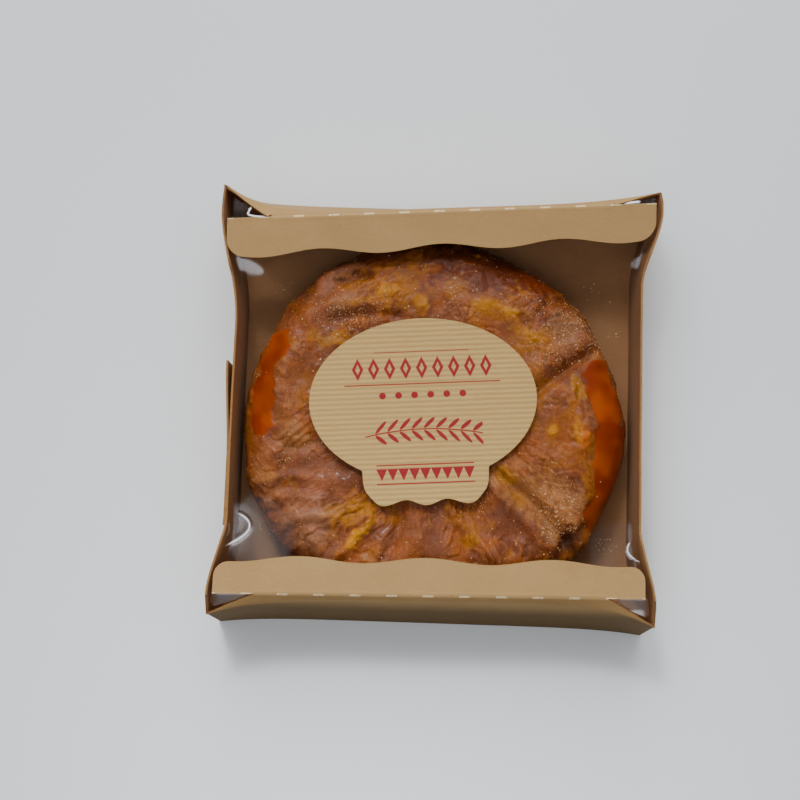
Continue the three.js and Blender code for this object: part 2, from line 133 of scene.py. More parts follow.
# Folds of the laminated dough: from, via, to, width, height.
FOLDS = [
    ((-57, 53), (-50, 64), (-35, 65), 3.2, 2.8),
    ((-47, 57), (-41, 61), (-33, 60), 2.6, -4.2),
    ((-66, 37), (-52, 48), (-28, 47), 6, 1.8),
    ((-50, 37), (-35, 42), (-17, 40), 2.4, -1.8),
    ((-26, 60), (-16, 50), (-8, 42), 7, 1.5),
    ((-4, 62), (20, 66), (50, 52), 8, -1.2),
    ((22, 48), (34, 45), (46, 40), 5, 1.6),
    ((47, 43), (51, 51), (61, 50), 2.4, -2),
    ((54, 47), (65, 42), (73, 26), 6, 2.2),
    ((44, 12), (54, 22), (68, 32), 4, 1.5),
    ((46, 5), (57, 15), (73, 27), 2.4, -3.2),
    ((68, 21), (90, -8), (76, -53), 9, -1.9),
    ((55, 9), (74, -6), (62, -32), 7, 1.9),
    ((-72, 31), (-88, 8), (-79, -15), 7, -1.9),
    ((-68, 27), (-76, 2), (-60, -21), 6, 1.8),
    ((-76, -18), (-66, -26), (-54, -20), 3, -1.8),
    ((-80, -40), (-70, -35), (-58, -37), 2.6, 1.5),
    ((-77, -50), (-66, -43), (-52, -47), 2.6, 1.6),
    ((-70, -60), (-60, -52), (-46, -56), 3, 1.7),
    ((-43, -73), (-36, -66), (-29, -57), 2.8, 2.3),
    ((-22, -74), (-14, -62), (-15, -49), 2.6, -2.4),
    ((-14, -76), (-4, -62), (-6, -50), 5, 1.5),
    ((7, -47), (15, -61), (32, -73), 3.2, 1.9),
    ((27, -39), (42, -53), (59, -70), 3.2, 1.9),
    ((28, -32), (47, -45), (65, -66), 2.4, -2.6),
    ((30, -26), (50, -40), (70, -60), 3.4, 2.2),
    ((60, -67), (64, -63), (70, -57), 3, -5),
]


# ---- Numbers and noise ----


def clamp(x, low, high):
    """The value, held between two limits."""
    return np.minimum(np.maximum(x, low), high)


def lerp(a, b, t):
    """a at t = 0, b at t = 1, and a straight line between: a + (b - a) * t."""
    return a + (b - a) * t


def smoothstep(x, low, high):
    """From 0 at low to 1 at high, either way round: t * t * (3 - 2 * t)."""
    t = clamp((x - low) / (high - low), 0, 1)
    return t * t * (3 - 2 * t)


def corner_value(ix, iy, seed):
    """The number from 0 to 1 of a grid corner: its whole numbers times big odd ones, mixed bit by bit."""
    wide = [(np.asarray(i).astype(np.int64) & 0xFFFFFFFF).astype(np.uint32) for i in (ix, iy)]
    start = np.uint32((seed * 1274126177) & 0xFFFFFFFF)
    h = wide[0] * np.uint32(374761393) + wide[1] * np.uint32(668265263) + start
    h = (h ^ (h >> np.uint32(13))) * np.uint32(1274126177)
    return (h ^ (h >> np.uint32(16))).astype(float) / 4294967296


def noise(x, y, cell, seed):
    """Smooth noise from -1 to 1: corner values blended across each square cell."""
    ix, iy = np.floor(x / cell), np.floor(y / cell)
    fx, fy = smoothstep(x / cell - ix, 0, 1), smoothstep(y / cell - iy, 0, 1)
    low = lerp(corner_value(ix, iy, seed), corner_value(ix + 1, iy, seed), fx)
    high = lerp(corner_value(ix, iy + 1, seed), corner_value(ix + 1, iy + 1, seed), fx)
    return 2 * lerp(low, high, fy) - 1


def bend(line, t):
    """A point on the bent line from, via, to: (1-t)^2 from + 2t(1-t) via + t^2 to."""
    start, via, end = (np.array(point, float) for point in line)
    t = np.asarray(t)[..., None]
    return (1 - t) ** 2 * start + 2 * t * (1 - t) * via + t**2 * end


def near_line(line, x, y, pieces=14):
    """Distance of each point to a bent line, and how far along it (0 to 1) the nearest place is."""
    knots = bend(line, np.linspace(0, 1, pieces + 1))
    best = np.full(np.shape(x), np.inf)
    where = np.zeros(np.shape(x))
    for k in range(pieces):
        a, run = knots[k], knots[k + 1] - knots[k]
        t = clamp(((x - a[0]) * run[0] + (y - a[1]) * run[1]) / (run @ run), 0, 1)
        distance = np.hypot(x - a[0] - t * run[0], y - a[1] - t * run[1])
        closer = distance < best
        best = np.where(closer, distance, best)
        where = np.where(closer, (k + t) / pieces, where)
    return best, where


def oval_distance(x, y, centre, size, turn):
    """Distance from an oval's centre, 1 on its edge: hypot of the two turned axes, each over its half
    length."""
    c, s = math.cos(math.radians(turn)), math.sin(math.radians(turn))
    dx, dy = x - centre[0], y - centre[1]
    return np.hypot((c * dx + s * dy) / size[0], (c * dy - s * dx) / size[1])


# ---- Meshes ----


def surface(x, y, z):
    """Points of a grid from its coordinates, each of which may be a number, a row, a column or a whole
    grid."""
    return np.stack(np.broadcast_arrays(x, y, z), -1)


def grid_faces(rows, columns, first=0, wrap=False):
    """Quads between neighbouring points of a grid kept row by row. Wrap joins its last column to its
    first."""
    count = columns if wrap else columns - 1
    r, c = np.meshgrid(np.arange(rows - 1), np.arange(count), indexing="ij")
    a, b = r * columns + c, r * columns + (c + 1) % columns
    return first + np.stack([a, b, b + columns, a + columns], -1).reshape(-1, 4)


def strip_faces(one, other):
    """Quads between two rows of point numbers."""
    return np.stack([one[:-1], other[:-1], other[1:], one[1:]], -1)


def outward_faces(points, faces):
    """The same faces, turned round if the closed form they make has a negative volume."""
    corners = points[faces]
    first = np.einsum("ij,ij->i", corners[:, 0], np.cross(corners[:, 1], corners[:, 2]))
    second = np.einsum("ij,ij->i", corners[:, 0], np.cross(corners[:, 2], corners[:, 3]))
    return faces if first.sum() + second.sum() > 0 else faces[:, ::-1]


def grid_normals(grid):
    """Unit normals of a grid surface: the cross product of its two tangents."""
    normals = np.cross(np.gradient(grid, axis=1), np.gradient(grid, axis=0))
    return normals / np.maximum(np.linalg.norm(normals, axis=-1, keepdims=True), 1e-9)


def closed_sheet(outer, inner):
    """A closed sheet between two grids: points, quads, and each quad's kind, which is 0 for the outside,
    1 for the inside and 2 for the cut edge."""
    rows, columns = outer.shape[:2]
    points = np.concatenate([outer.reshape(-1, 3), inner.reshape(-1, 3)])
    numbers = np.arange(rows * columns).reshape(rows, columns)
    layer = rows * columns
    face = grid_faces(rows, columns)
    round_edge = np.concatenate([numbers[0], numbers[1:, -1], numbers[-1, -2::-1], numbers[-2::-1, 0]])
    rim = strip_faces(round_edge, round_edge + layer)
    faces = np.concatenate([face, layer + face[:, ::-1], rim])
    kinds = np.repeat([0, 1, 2], [len(face), len(face), len(rim)])
    return points, outward_faces(points, faces), kinds


def card_sheet(outer):
    """Card of even thickness behind an outer face: each point moved along its normal into the tray."""
    normals = grid_normals(outer)
    inward = np.sign(np.sum(normals * (INSIDE_POINT - outer), -1).mean())
    return closed_sheet(outer, outer + inward * CARD * normals)


def piece(name, points, faces, materials, kinds=None, attributes=None, sharp=None, fans=()):
    """A mesh object at the origin, its points in metres, riding on the pack. Fans are triangles at
    poles."""
    mesh = bpy.data.meshes.new(name)
    mesh.from_pydata((points * MM).tolist(), [], faces.tolist() + [list(fan) for fan in fans])
    for material in materials:
        mesh.materials.append(material)
    if kinds is not None:
        mesh.polygons.foreach_set("material_index", kinds.astype(np.int32))
    for key, values in (attributes or {}).items():
        form = "FLOAT_COLOR" if values.ndim == 2 else "FLOAT"
        field = "color" if values.ndim == 2 else "value"
        mesh.attributes.new(key, form, "POINT").data.foreach_set(field, values.astype(np.float32).ravel())
    mesh.polygons.foreach_set("use_smooth", np.ones(len(mesh.polygons), bool))
    if sharp:
        mesh.set_sharp_from_angle(angle=math.radians(sharp))
    mesh.validate()
    made = bpy.data.objects.new(name, mesh)
    bpy.context.scene.collection.objects.link(made)
    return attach(made, "root")


# ---- Materials ----


def tone(red, green, blue):
    """A colour given as screen values from 0 to 255, as linear light."""
    screen = np.array([red, green, blue]) / 255
    return np.where(screen <= 0.04045, screen / 12.92, ((screen + 0.055) / 1.055) ** 2.4)


def rgba(colour):
    """A colour with full alpha, as a socket takes it."""
    return (*(float(c) for c in colour), 1.0)


class Value:
    """A socket of a material. Arithmetic on it adds Math nodes."""

    def __init__(self, tree, socket):
        self.tree = tree
        self.socket = socket

    def node(self, kind, settings=None, inputs=None, output=0):
        """Any other node: its settings are set first, then the values or links of its sockets."""
        made = self.tree.nodes.new(kind)
        for key, value in (settings or {}).items():
            setattr(made, key, value)
        for key, value in (inputs or {}).items():
            if isinstance(value, Value):
                self.tree.links.new(value.socket, made.inputs[key])
            else:
                made.inputs[key].default_value = value
        return Value(self.tree, made.outputs[output])

    def math(self, operation, *values, limited=False):
        """A Math node; limited clamps its result to between 0 and 1."""
        settings = {"operation": operation, "use_clamp": limited}
        return self.node("ShaderNodeMath", settings, dict(enumerate(values)))

    def __add__(self, other):
        return self.math("ADD", self, other)

    def __sub__(self, other):
        return self.math("SUBTRACT", self, other)

    def __rsub__(self, other):
        return self.math("SUBTRACT", other, self)

    def __mul__(self, other):
        return self.math("MULTIPLY", self, other)

    def __truediv__(self, other):
        return self.math("DIVIDE", self, other)

    def __pow__(self, other):
        return self.math("POWER", self, other)

    def __gt__(self, other):
        return self.math("GREATER_THAN", self, other)

    def __abs__(self):
        return self.math("ABSOLUTE", self)

    __radd__ = __add__
    __rmul__ = __mul__

    def fraction(self):
        """Its part after the decimal point."""
        return self.math("FRACT", self)

    def limited(self):
        """Itself, held between 0 and 1."""
        return self.math("ADD", self, 0.0, limited=True)

    def rises(self, low, high):
        """0 below low, 1 above high, and a smooth step between."""
        settings = {"interpolation_type": "SMOOTHSTEP"}
        return self.node("ShaderNodeMapRange", settings, {"Value": self, "From Min": low, "From Max": high})

    def blended(self, low, high):
        """A colour between two others, by this value."""
        inputs = {"Factor": self}
        inputs[6] = low if isinstance(low, Value) else rgba(low)
        inputs[7] = high if isinstance(high, Value) else rgba(high)
        return self.node("ShaderNodeMix", {"data_type": "RGBA"}, inputs, 2)

    def axes(self):
        """Its x, its y and its z."""
        split = self.node("ShaderNodeSeparateXYZ", {}, {0: self})
        outputs = split.socket.node.outputs
        return tuple(Value(self.tree, outputs[k]) for k in range(3))

    def moved(self, offset=(0, 0, 0), turn=0.0, scale=(1, 1, 1)):
        """A place scaled, then turned about Z, then shifted."""
        inputs = {"Vector": self, "Location": offset, "Rotation": (0, 0, turn), "Scale": scale}
        return self.node("ShaderNodeMapping", {"vector_type": "POINT"}, inputs)

    def grain(self, size, detail=2.0, roughness=0.5, warp=0.0):
        """Noise from 0 to 1 whose lumps are about size millimetres across."""
        inputs = {"Vector": self, "Scale": 1 / (size * MM), "Detail": detail, "Roughness": roughness}
        inputs["Distortion"] = warp
        return self.node("ShaderNodeTexNoise", {"noise_dimensions": "3D"}, inputs)

    def bump(self, height, strength=1.0):
        """A normal from this height, in millimetres."""
        inputs = {"Height": self, "Distance": height * MM, "Strength": strength}
        return self.node("ShaderNodeBump", {}, inputs)


def new_material(name, **constants):
    """A material, a value on its object's coordinates, and its Principled shader with constants set on
    it."""
    material = bpy.data.materials.new(name)
    material.use_nodes = True
    tree = material.node_tree
    shader = tree.nodes["Principled BSDF"]
    for key, value in constants.items():
        shader.inputs[key.replace("_", " ")].default_value = value
    place = Value(tree, tree.nodes.new("ShaderNodeTexCoord").outputs["Object"])
    return material, place, shader


def feed(shader, **links):
    """Links values to the sockets of a shader, with spaces written as underscores."""
    for key, value in links.items():
        value.tree.links.new(value.socket, shader.inputs[key.replace("_", " ")])


# Pale and deep tone of the card's two faces. The inside face is the same card with painted shade: darker,
# for the shade inside the tray.
KRAFT_OUTSIDE = (np.array([0.43, 0.268, 0.108]), np.array([0.27, 0.158, 0.058]))
KRAFT_INSIDE_PAINTED_SHADE = (np.array([0.385, 0.203, 0.093]), np.array([0.265, 0.128, 0.056]))
# Painted highlight in dashes along the folds of the flaps: pitch, phase in pitches, the share of a pitch
# where a dash fades out, and the half width of the line, where it fades out.
DASH_PITCH = 16.4
DASH_PHASE = 40.2
DASH_END = (0.27, 0.31)
DASH_EDGE = (0.3, 0.6)
# Painted shade on the bottom wall below its buckled crease: the heights and the places along Y between
# which it fades.
PAINTED_SHADE_BELOW = (37, 43)
PAINTED_SHADE_BEYOND = (-97, -91)


def kraft(name, pale, deep, painted_fold_light_and_shade=False):
    """Kraft card: slow mottling, short fibres along X and dark specks; with the fold marks on, a painted
    highlight in dashes on its folds and painted shade on its bottom wall.
    """
    material, place, shader = new_material(name, Roughness=0.85, Specular_IOR_Level=0.2)
    mottle = place.grain(22.0, 3.0)
    fibres = place.moved(scale=(0.22, 1.0, 1.0)).grain(0.7, 4.0, 0.7, warp=0.6)
    specks = place.grain(1.1, 1.0).rises(0.7, 0.78)
    shade = (mottle * 0.55 + fibres * 0.75 - 0.15).limited()
    colour = shade.blended(deep, pale)
    colour = (specks * 0.35).blended(colour, deep * 0.55)
    if painted_fold_light_and_shade:
        # Painted highlight: pale dashes on the flaps' folds.
        colour = painted_fold_highlights(place).blended(colour, tone(214, 190, 150))
        # Painted shade: the bottom wall under its crease is darkened towards a tenth of the deep tone.
        colour = (painted_shade_below_the_buckle(place) * 0.66).blended(colour, deep * 0.1)
    feed(shader, Base_Color=colour, Normal=(fibres + mottle * 0.4).bump(0.05, 0.6))
    return material


def painted_fold_highlights(place):
    """Painted highlight: light dashes along the folds of the flaps, where the folds catch the light."""
    x, y, z = place.axes()
    total = None
    for end in (TOP_END, BOTTOM_END):
        off = abs(y - (x * end["slope"] + end["fold"] * MM)) / MM
        dash = 1 - (x / (DASH_PITCH * MM) + DASH_PHASE).fraction().rises(*DASH_END)
        line = (1 - off.rises(*DASH_EDGE)) * (dash * 0.9 + 0.1) * (z > (DEPTH - 2) * MM)
        total = line if total is None else total + line
    ragged = place.grain(1.2, 2.0).rises(0.25, 0.45)
    return (total * ragged).limited()


def painted_shade_below_the_buckle(position):
    """1 on the bottom wall under its buckled crease, where shade is painted into the card's colour, and 0
    elsewhere.
    """
    _, y, z = position.axes()
    above = z.rises(*(height * MM for height in PAINTED_SHADE_BELOW))
    inward = y.rises(*(place * MM for place in PAINTED_SHADE_BEYOND))
    return (1 - above) * (1 - inward)


def cut_edge_material():
    """The cut edge of the card: paler, with fine layers across it."""
    material, place, shader = new_material("kraft_cut_edge", Roughness=0.9, Specular_IOR_Level=0.2)
    layers = place.moved(scale=(0.3, 0.3, 3.0)).grain(0.6, 2.0)
    colour = layers.blended(tone(116, 80, 44), tone(162, 120, 72))
    feed(shader, Base_Color=colour, Normal=layers.bump(0.05, 0.5))
    return material


def film_material():
    """Clear film: see-through, with a mirror that grows at a glancing angle, and painted highlights and
    sheen where a point attribute raises the mirror and its roughness."""
    material, place, shader = new_material("clear_film", Metallic=1.0, Base_Color=(0.97, 0.97, 1.0, 1.0))
    tree = material.node_tree
    facing = place.node("ShaderNodeLayerWeight", {}, {"Blend": 0.5}, 1)
    # Painted highlights and sheen: this attribute whitens creases and patches of the film.
    crease = place.node("ShaderNodeAttribute", {"attribute_name": "painted_sheen"}, {}, 2)
    mirror = (facing**5.0 * 0.95 + 0.005 + crease).limited()
    feed(shader, Roughness=(crease * 0.9 + 0.1).limited())
    clear = tree.nodes.new("ShaderNodeBsdfTransparent")
    blend = tree.nodes.new("ShaderNodeMixShader")
    tree.links.new(mirror.socket, blend.inputs[0])
    tree.links.new(clear.outputs[0], blend.inputs[1])
    tree.links.new(shader.outputs[0], blend.inputs[2])
    tree.links.new(blend.outputs[0], tree.nodes["Material Output"].inputs["Surface"])
    return material


# The label's paper between and on its stripes, its one ink, and the distance between stripes.
LABEL_PAPER = (np.array([0.325, 0.2, 0.068]), np.array([0.535, 0.35, 0.126]))
LABEL_INK = np.array([0.25, 0.008, 0.014])
STRIPE_PITCH = 2.35
# Whole cells that keep the argument of a fraction above zero anywhere on the label.
WHOLE_CELLS = 100.0


def label_material():
    """Striped kraft paper printed in one red with plain shapes."""
    material, place, shader = new_material("striped_label_paper", Roughness=0.7, Specular_IOR_Level=0.25)
    centre = (-LABEL_CENTRE[0] * MM, -LABEL_CENTRE[1] * MM, 0)
    own = place.moved(offset=centre).moved(turn=-LABEL_TURN, scale=(1 / MM, 1 / MM, 1 / MM))
    x, y, _ = own.axes()
    wobble = place.grain(9.0, 2.0) * 0.5
    stripe = y.math("SINE", (y + wobble) * (2 * math.pi / STRIPE_PITCH))
    fibres = place.moved(scale=(0.2, 1, 1)).grain(0.8, 3.0)
    shade = (stripe * 0.3 + 0.5 + (fibres - 0.5) * 0.5).limited()
    paper = shade.blended(*LABEL_PAPER)
    ink = label_print(x, y)
    worn = place.grain(0.5, 2.0).rises(0.2, 0.45) * 0.1 + 0.9
    colour = (ink * worn).limited().blended(paper, LABEL_INK)
    feed(shader, Base_Color=colour, Normal=(stripe * 0.4 + fibres).bump(0.04, 0.5))
    return material


def label_print(x, y):
    """How much ink lies at a place of the label, from the distance to plain shapes: lozenges between
    rules, a row of dots, a sprig lying along the middle, and a band of triangles between rules on the
    lobe."""

    def inside(distance):
        """1 where a distance to a shape's edge is below zero, 0 outside, and a soft step between."""
        return 1 - distance.rises(-0.12, 0.12)

    def rule(height, half, thick):
        """A straight line across, of this half length and half thickness."""
        return inside(abs(y - height) - thick) * inside(abs(x) - half)

    def repeat(value, step, shift=0.5):
        """The distance from the middle of the nearest of many cells, one to each step."""
        return ((value / step + (WHOLE_CELLS + shift)).fraction() - 0.5) * step

    step, height = 7.4, 15.0
    lozenge = inside((abs(repeat(x, step)) / 2.7 + abs(y - height) / 5.2 - 1) * 2) * inside(abs(x) - 33.2)
    hollow = inside(abs(repeat(x, step)) / 1.1 + abs(y - height) / 2.4 - 1)
    ink = lozenge * (1 - hollow)
    dots = inside((repeat(x, step, 0.0) ** 2.0 + (y - 2.4) ** 2.0) * 0.4 - 1.0) * inside(abs(x) - 22.0)
    ink = ink + dots + rule(22.6, 22, 0.18) + rule(7.6, 36, 0.28)
    bow = y + 13.5 + x * x * 0.004
    stem = inside(abs(bow) - 0.3) * inside(abs(x) - 27.0)
    along = repeat(x - abs(bow) * 0.9, 5.6)
    leaf = ((abs(bow) - 2.9) / 2.5) ** 2.0 + (along / 1.25) ** 2.0 - 1
    ink = ink + stem + inside(leaf * 0.8) * inside(abs(x - 2.0) - 25.0)
    teeth = inside(abs(repeat(x, 5.0)) * 2.2 - (y + 37.0)) * inside(abs(y + 34.2) - 2.8)
    teeth = teeth * inside(abs(x) - 22.4)
    return (ink + teeth + rule(-38.4, 22.4, 0.3) + rule(-29.8, 22.4, 0.3)).limited()


def crust_material():
    """Caramelised crust: its own tones with fine flakes, which are painted lighter where their bump rises,
    pale specks and dark pits, under a low gloss, and smooth and clear of them where caramel has pooled."""
    depth = {"Subsurface_Weight": 0.14, "Subsurface_Radius": (1.0, 0.4, 0.12), "Subsurface_Scale": 1.2 * MM}
    gloss_level = {"Coat_Roughness": 0.08, "Specular_IOR_Level": 0.13}
    material, place, shader = new_material("caramelised_crust", **depth, **gloss_level)
    tones = place.node("ShaderNodeAttribute", {"attribute_name": "crust_tone"}, {}, 0)
    gloss = place.node("ShaderNodeAttribute", {"attribute_name": "caramel"}, {}, 2)
    flakes = place.grain(1.5, 5.0, 0.7, warp=1.4)
    specks = place.grain(0.55, 2.0).rises(0.64, 0.74)
    pits = 1 - place.grain(2.4, 4.0, 0.65, warp=0.8).rises(0.3, 0.44)
    # Painted light: the tone is lighter where the fine flakes' noise, which also raises the bump, is high.
    light = flakes.rises(0.3, 0.7).blended(np.array([0.74, 0.7, 0.66]), np.array([1.2, 1.2, 1.2]))
    multiply = {"data_type": "RGBA", "blend_type": "MULTIPLY"}
    colour = place.node("ShaderNodeMix", multiply, {"Factor": 1.0, 6: tones, 7: light}, 2)
    colour = (specks * 0.25).blended(colour, tone(214, 160, 92))
    colour = (pits * 0.26).blended(colour, tone(50, 16, 5))
    colour = (gloss * 0.92).limited().blended(colour, tones)
    rough = (0.24 - gloss * 0.04 + (flakes - 0.5) * 0.3).limited()
    height = (flakes + place.grain(0.7, 2.0) * 0.3) * (1 - gloss * 0.95)
    feed(shader, Base_Color=colour, Roughness=rough, Coat_Weight=(0.07 - gloss * 0.06).limited())
    feed(shader, Normal=height.bump(0.5, 0.8))
    return material


def sugar_material():
    """Sugar crystals, some pale and some stained by caramel."""
    gloss_level = {"Roughness": 0.15, "Coat_Weight": 0.6, "Coat_Roughness": 0.05}
    material, place, shader = new_material("sugar_crystal", **gloss_level)
    stain = place.grain(2.0, 2.0).rises(0.3, 0.6)
    feed(shader, Base_Color=stain.blended(tone(222, 188, 140), tone(180, 120, 64)))
    return material


def crumb_material():
    """Dry crumbs of crust."""
    material, place, shader = new_material("crust_crumb", Roughness=0.75)
    feed(shader, Base_Color=place.grain(2.0, 2.0).blended(tone(190, 146, 80), tone(234, 204, 140)))
    return material


# ---- Carton ----


def flare(y, z):
    """How far the top end spreads at a height: TOP_FLARE at the front, in proportion below it."""
    return np.where(y > 0, TOP_FLARE * z / DEPTH, 0)


def half_width(side, y, z):
    """Outer half width of the tray on one side: full at the ends, drawn in along the window."""
    front = z / DEPTH
    waist = np.where((side < 0) & (y > 0), WAIST_START_TOP_LEFT, WAIST_START)
    full = smoothstep(np.abs(y), lerp(waist + 10, waist, front), lerp(BACK_HALF_LENGTH, WAIST_END, front))
    return END_HALF_WIDTH - WAIST_INSET * (1 - full) + full * flare(y, z)


def outward(x):
    """Distance from the middle as a share of the half width, up to 1."""
    return clamp(np.abs(x) / END_HALF_WIDTH, 0, 1)


def wall_of(end):
    """The numbers of the top end wall for 1, and of the bottom one for -1."""
    return TOP_END if end > 0 else BOTTOM_END


def fold_y(end, x):
    """The flap's fold: a straight line, a little aslant."""
    return wall_of(end)["fold"] + wall_of(end)["slope"] * x


def tip_y(end, x):
    """The line through the two ears' tips, a little aslant."""
    return wall_of(end)["tip"] + wall_of(end)["tip_slope"] * x


def back_y(end, x):
    """The back panel's end: bowed in by BACK_BOW in the middle, by the sixth power of the way outward."""
    return end * (BACK_HALF_LENGTH - BACK_BOW * (1 - outward(x) ** 6))


def crease_y(end, x):
    """Where an end wall buckles: close to the fold in the middle, out to the ear's tip at the sides."""
    return lerp(fold_y(end, x) + end * CREASE_GAP, tip_y(end, x), outward(x) ** 5)


def crease_z(x):
    """Height of the buckled crease, which falls to the ears' tips by the square of the way outward."""
    return lerp(CREASE_Z, EAR_TIP_Z, outward(x) ** 2)


def corner_round(z):
    """Radius of the tray's upright corners, which run out into the cut edges near the ears' tips."""
    return lerp(CORNER_ROUND, SHARP, smoothstep(z, EAR_TIP_Z - 3, EAR_TIP_Z))


def fold_round(x):
    """Length of the bend at a flap's fold; beyond the ears the flap is cut free."""
    return lerp(FOLD_ROUND, SHARP, smoothstep(np.abs(x), EAR_X - 1, EAR_X + 0.6))


def foot_rows(count=4):
    """The rounded foot of a wall, a quarter circle: its insets and heights, from the back panel up."""
    a = np.linspace(0, math.pi / 2, count)
    return FOOT_ROUND * (1 - np.sin(a)), FOOT_ROUND * (1 - np.cos(a))


def wall_ripple(x, z, seed):
    """Slight unevenness of the card: two sizes of noise."""
    return 0.16 * noise(x, z, 24, seed) + 0.06 * noise(x, z, 9, seed + 1)


def end_wall(end):
    """An end wall. Rows climb from the foot by the buckled crease to the upper edge, and columns run
    across."""
    ear = 0.77
    middle = np.linspace(-ear, ear, 160)[1:-1]
    u = np.concatenate([np.linspace(-1, -ear, 30), middle, np.linspace(ear, 1, 30)])
    inset, foot = foot_rows()
    x = u * END_HALF_WIDTH
    climb = np.concatenate([np.linspace(0, 1, 26)[:, None], 1 + np.linspace(0, 1, 10)[1:, None]])
    cut = clamp((np.abs(x) - EAR_X) / (END_HALF_WIDTH - EAR_X), 0, 1)
    cut = clamp(cut * (tip_y(end, x) - fold_y(end, x)) / (crease_y(end, x) - fold_y(end, x)), 0, 1)
    top_y = lerp(fold_y(end, x), crease_y(end, x), cut)
    top_z = lerp(DEPTH, crease_z(x), cut)
    strip = np.hypot(top_y - crease_y(end, x), top_z - crease_z(x)) + 1e-6
    short = clamp(fold_round(x) / strip, 0, 0.9) * (fold_round(x) > 0.1)
    top_y, top_z = lerp(top_y, crease_y(end, x), short), lerp(top_z, crease_z(x), short)
    low = clamp(climb, 0, 1)
    high = clamp(climb - 1, 0, 1)
    y = lerp(lerp(back_y(end, x), crease_y(end, x), low), top_y, high)
    z = lerp(lerp(FOOT_ROUND, crease_z(x), low), top_z, high)
    y = y + end * wall_ripple(x, z, 31 + end) * np.sin(np.pi * clamp(z / DEPTH, 0, 1)) * (1 - cut)
    rows = [surface(x, back_y(end, x) - end * i, h) for i, h in zip(inset[:-1], foot[:-1])]
    grid = np.concatenate([np.array(rows), surface(x, y, z)])
    width = END_HALF_WIDTH + flare(grid[..., 1], grid[..., 2]) - corner_round(grid[..., 2])
    grid[..., 0] = u * width
    return card_sheet(grid)


def side_height(y):
    """Height of a side wall: low along the window, and up to just under the full depth at both ends."""
    return lerp(SIDE_MID_HEIGHT, DEPTH - 0.4, smoothstep(np.abs(y), *SIDE_RISE))


def side_reach(side, end, z):
    """How far a side wall reaches along Y at a height: back corner, tip of the ear, end of the fold."""
    fold = np.abs(fold_y(end, side * END_HALF_WIDTH))
    tip = np.abs(tip_y(end, side * END_HALF_WIDTH))
    lower = lerp(BACK_HALF_LENGTH, tip, z / EAR_TIP_Z)
    upper = lerp(tip, fold, (z - EAR_TIP_Z) / (DEPTH - EAR_TIP_Z))
    return np.where(z <= EAR_TIP_Z, lower, upper)


def side_wall(side):
    """A side wall. Rows climb from the rounded foot, and columns run along Y and turn the upright corner
    at both ends."""
    turn = np.linspace(0, math.pi / 2, 7)[1:]
    v = np.concatenate([-np.ones(6), np.linspace(-1, 1, 190), np.ones(6)])
    angle = np.concatenate([turn[::-1], np.zeros(190), turn])
    end = np.sign(v)
    inset, foot = foot_rows()
    share = np.linspace(0, 1, 30)[:, None]
    climb = lerp(FOOT_ROUND, side_height(v * BACK_HALF_LENGTH), share)
    z = np.concatenate([np.repeat(foot[:-1, None], len(v), 1), climb])
    inset = np.concatenate([inset[:-1, None], np.zeros((30, 1))])
    radius = corner_round(z)
    reach = np.where(end > 0, side_reach(side, 1, z), side_reach(side, -1, z)) - radius
    y = np.abs(v) * reach
    bulge = wall_ripple(v * 104, z, 41 + side) * (1 - np.abs(v) ** 8)
    width = half_width(side, end * y, z) - radius - bulge
    x = width + (radius - inset) * np.cos(angle)
    y = y + (radius - inset) * np.sin(angle)
    return card_sheet(np.stack([side * x, end * y, z], -1))


def glue_tab():
    """The lapped tab on the left wall, glued along its lower half and sprung off at its free end."""
    y = np.linspace(*TAB_SPAN, 60)
    z = lerp(TAB_FOOT, SIDE_MID_HEIGHT - 0.2, np.linspace(0, 1, 16))[:, None]
    sprung = TAB_STAND_OFF * smoothstep(y, TAB_GLUED_TO, TAB_SPAN[1])
    x = -(half_width(-1, y, z) + CARD - TAB_SUNK + sprung)
    return card_sheet(surface(x, y, z))


def back_panel():
    """The flat back, inset by the rounded feet of the walls."""
    u, v = np.meshgrid(np.linspace(-1, 1, 60), np.linspace(-1, 1, 60))
    y = v * (back_y(1, u * END_HALF_WIDTH) - FOOT_ROUND)
    x = u * (half_width(np.sign(u), y, 0 * y) - FOOT_ROUND)
    return card_sheet(surface(x, y, 0.0))


def flap_reach(shape, x):
    """Reach of a flap from its fold to its wavy free edge, with rounded outer corners."""
    swing = shape["wave"] * np.cos(2 * np.pi * (x - shape["crest"]) / shape["period"])
    past = clamp(np.abs(x - shape["centre"]) - (shape["half"] - FLAP_CORNER), 0, FLAP_CORNER)
    corner = FLAP_CORNER - np.sqrt(FLAP_CORNER**2 - past**2)
    return shape["reach"] + shape["skew"] * x + swing - corner


def flap(end):
    """A flap. Rows start round the fold, on the bent line through three points, then fall straight to its
    edge."""
    shape = TOP_FLAP if end > 0 else BOTTOM_FLAP
    straight = shape["half"] - FLAP_CORNER
    corner = straight + FLAP_CORNER * np.sin(np.linspace(0, math.pi / 2, 16))
    u = np.concatenate([-corner[::-1], np.linspace(-straight, straight, 230)[1:-1], corner])
    x = shape["centre"] + u
    soft = fold_round(x)
    strip_y, strip_z = crease_y(end, x) - fold_y(end, x), crease_z(x) - DEPTH
    length = np.hypot(strip_y, strip_z)
    start = surface(x, fold_y(end, x) + soft * strip_y / length, DEPTH + soft * strip_z / length)
    middle = surface(x, fold_y(end, x), DEPTH)
    after = surface(x, fold_y(end, x) - end * soft, DEPTH - FLAP_DROP * soft)
    rows = [(1 - t) ** 2 * start + 2 * t * (1 - t) * middle + t**2 * after for t in np.linspace(0, 1, 7)]
    for v in np.linspace(0, 1, 22)[1:]:
        reach = lerp(soft, flap_reach(shape, x), v)
        lift = 0.12 * noise(x, 60 * v, 20, 51 + end) * v
        height = DEPTH - FLAP_DROP * reach - 0.15 * v**2 - 0.1 + lift
        rows.append(surface(x, fold_y(end, x) - end * reach, height))
    return card_sheet(np.array(rows))


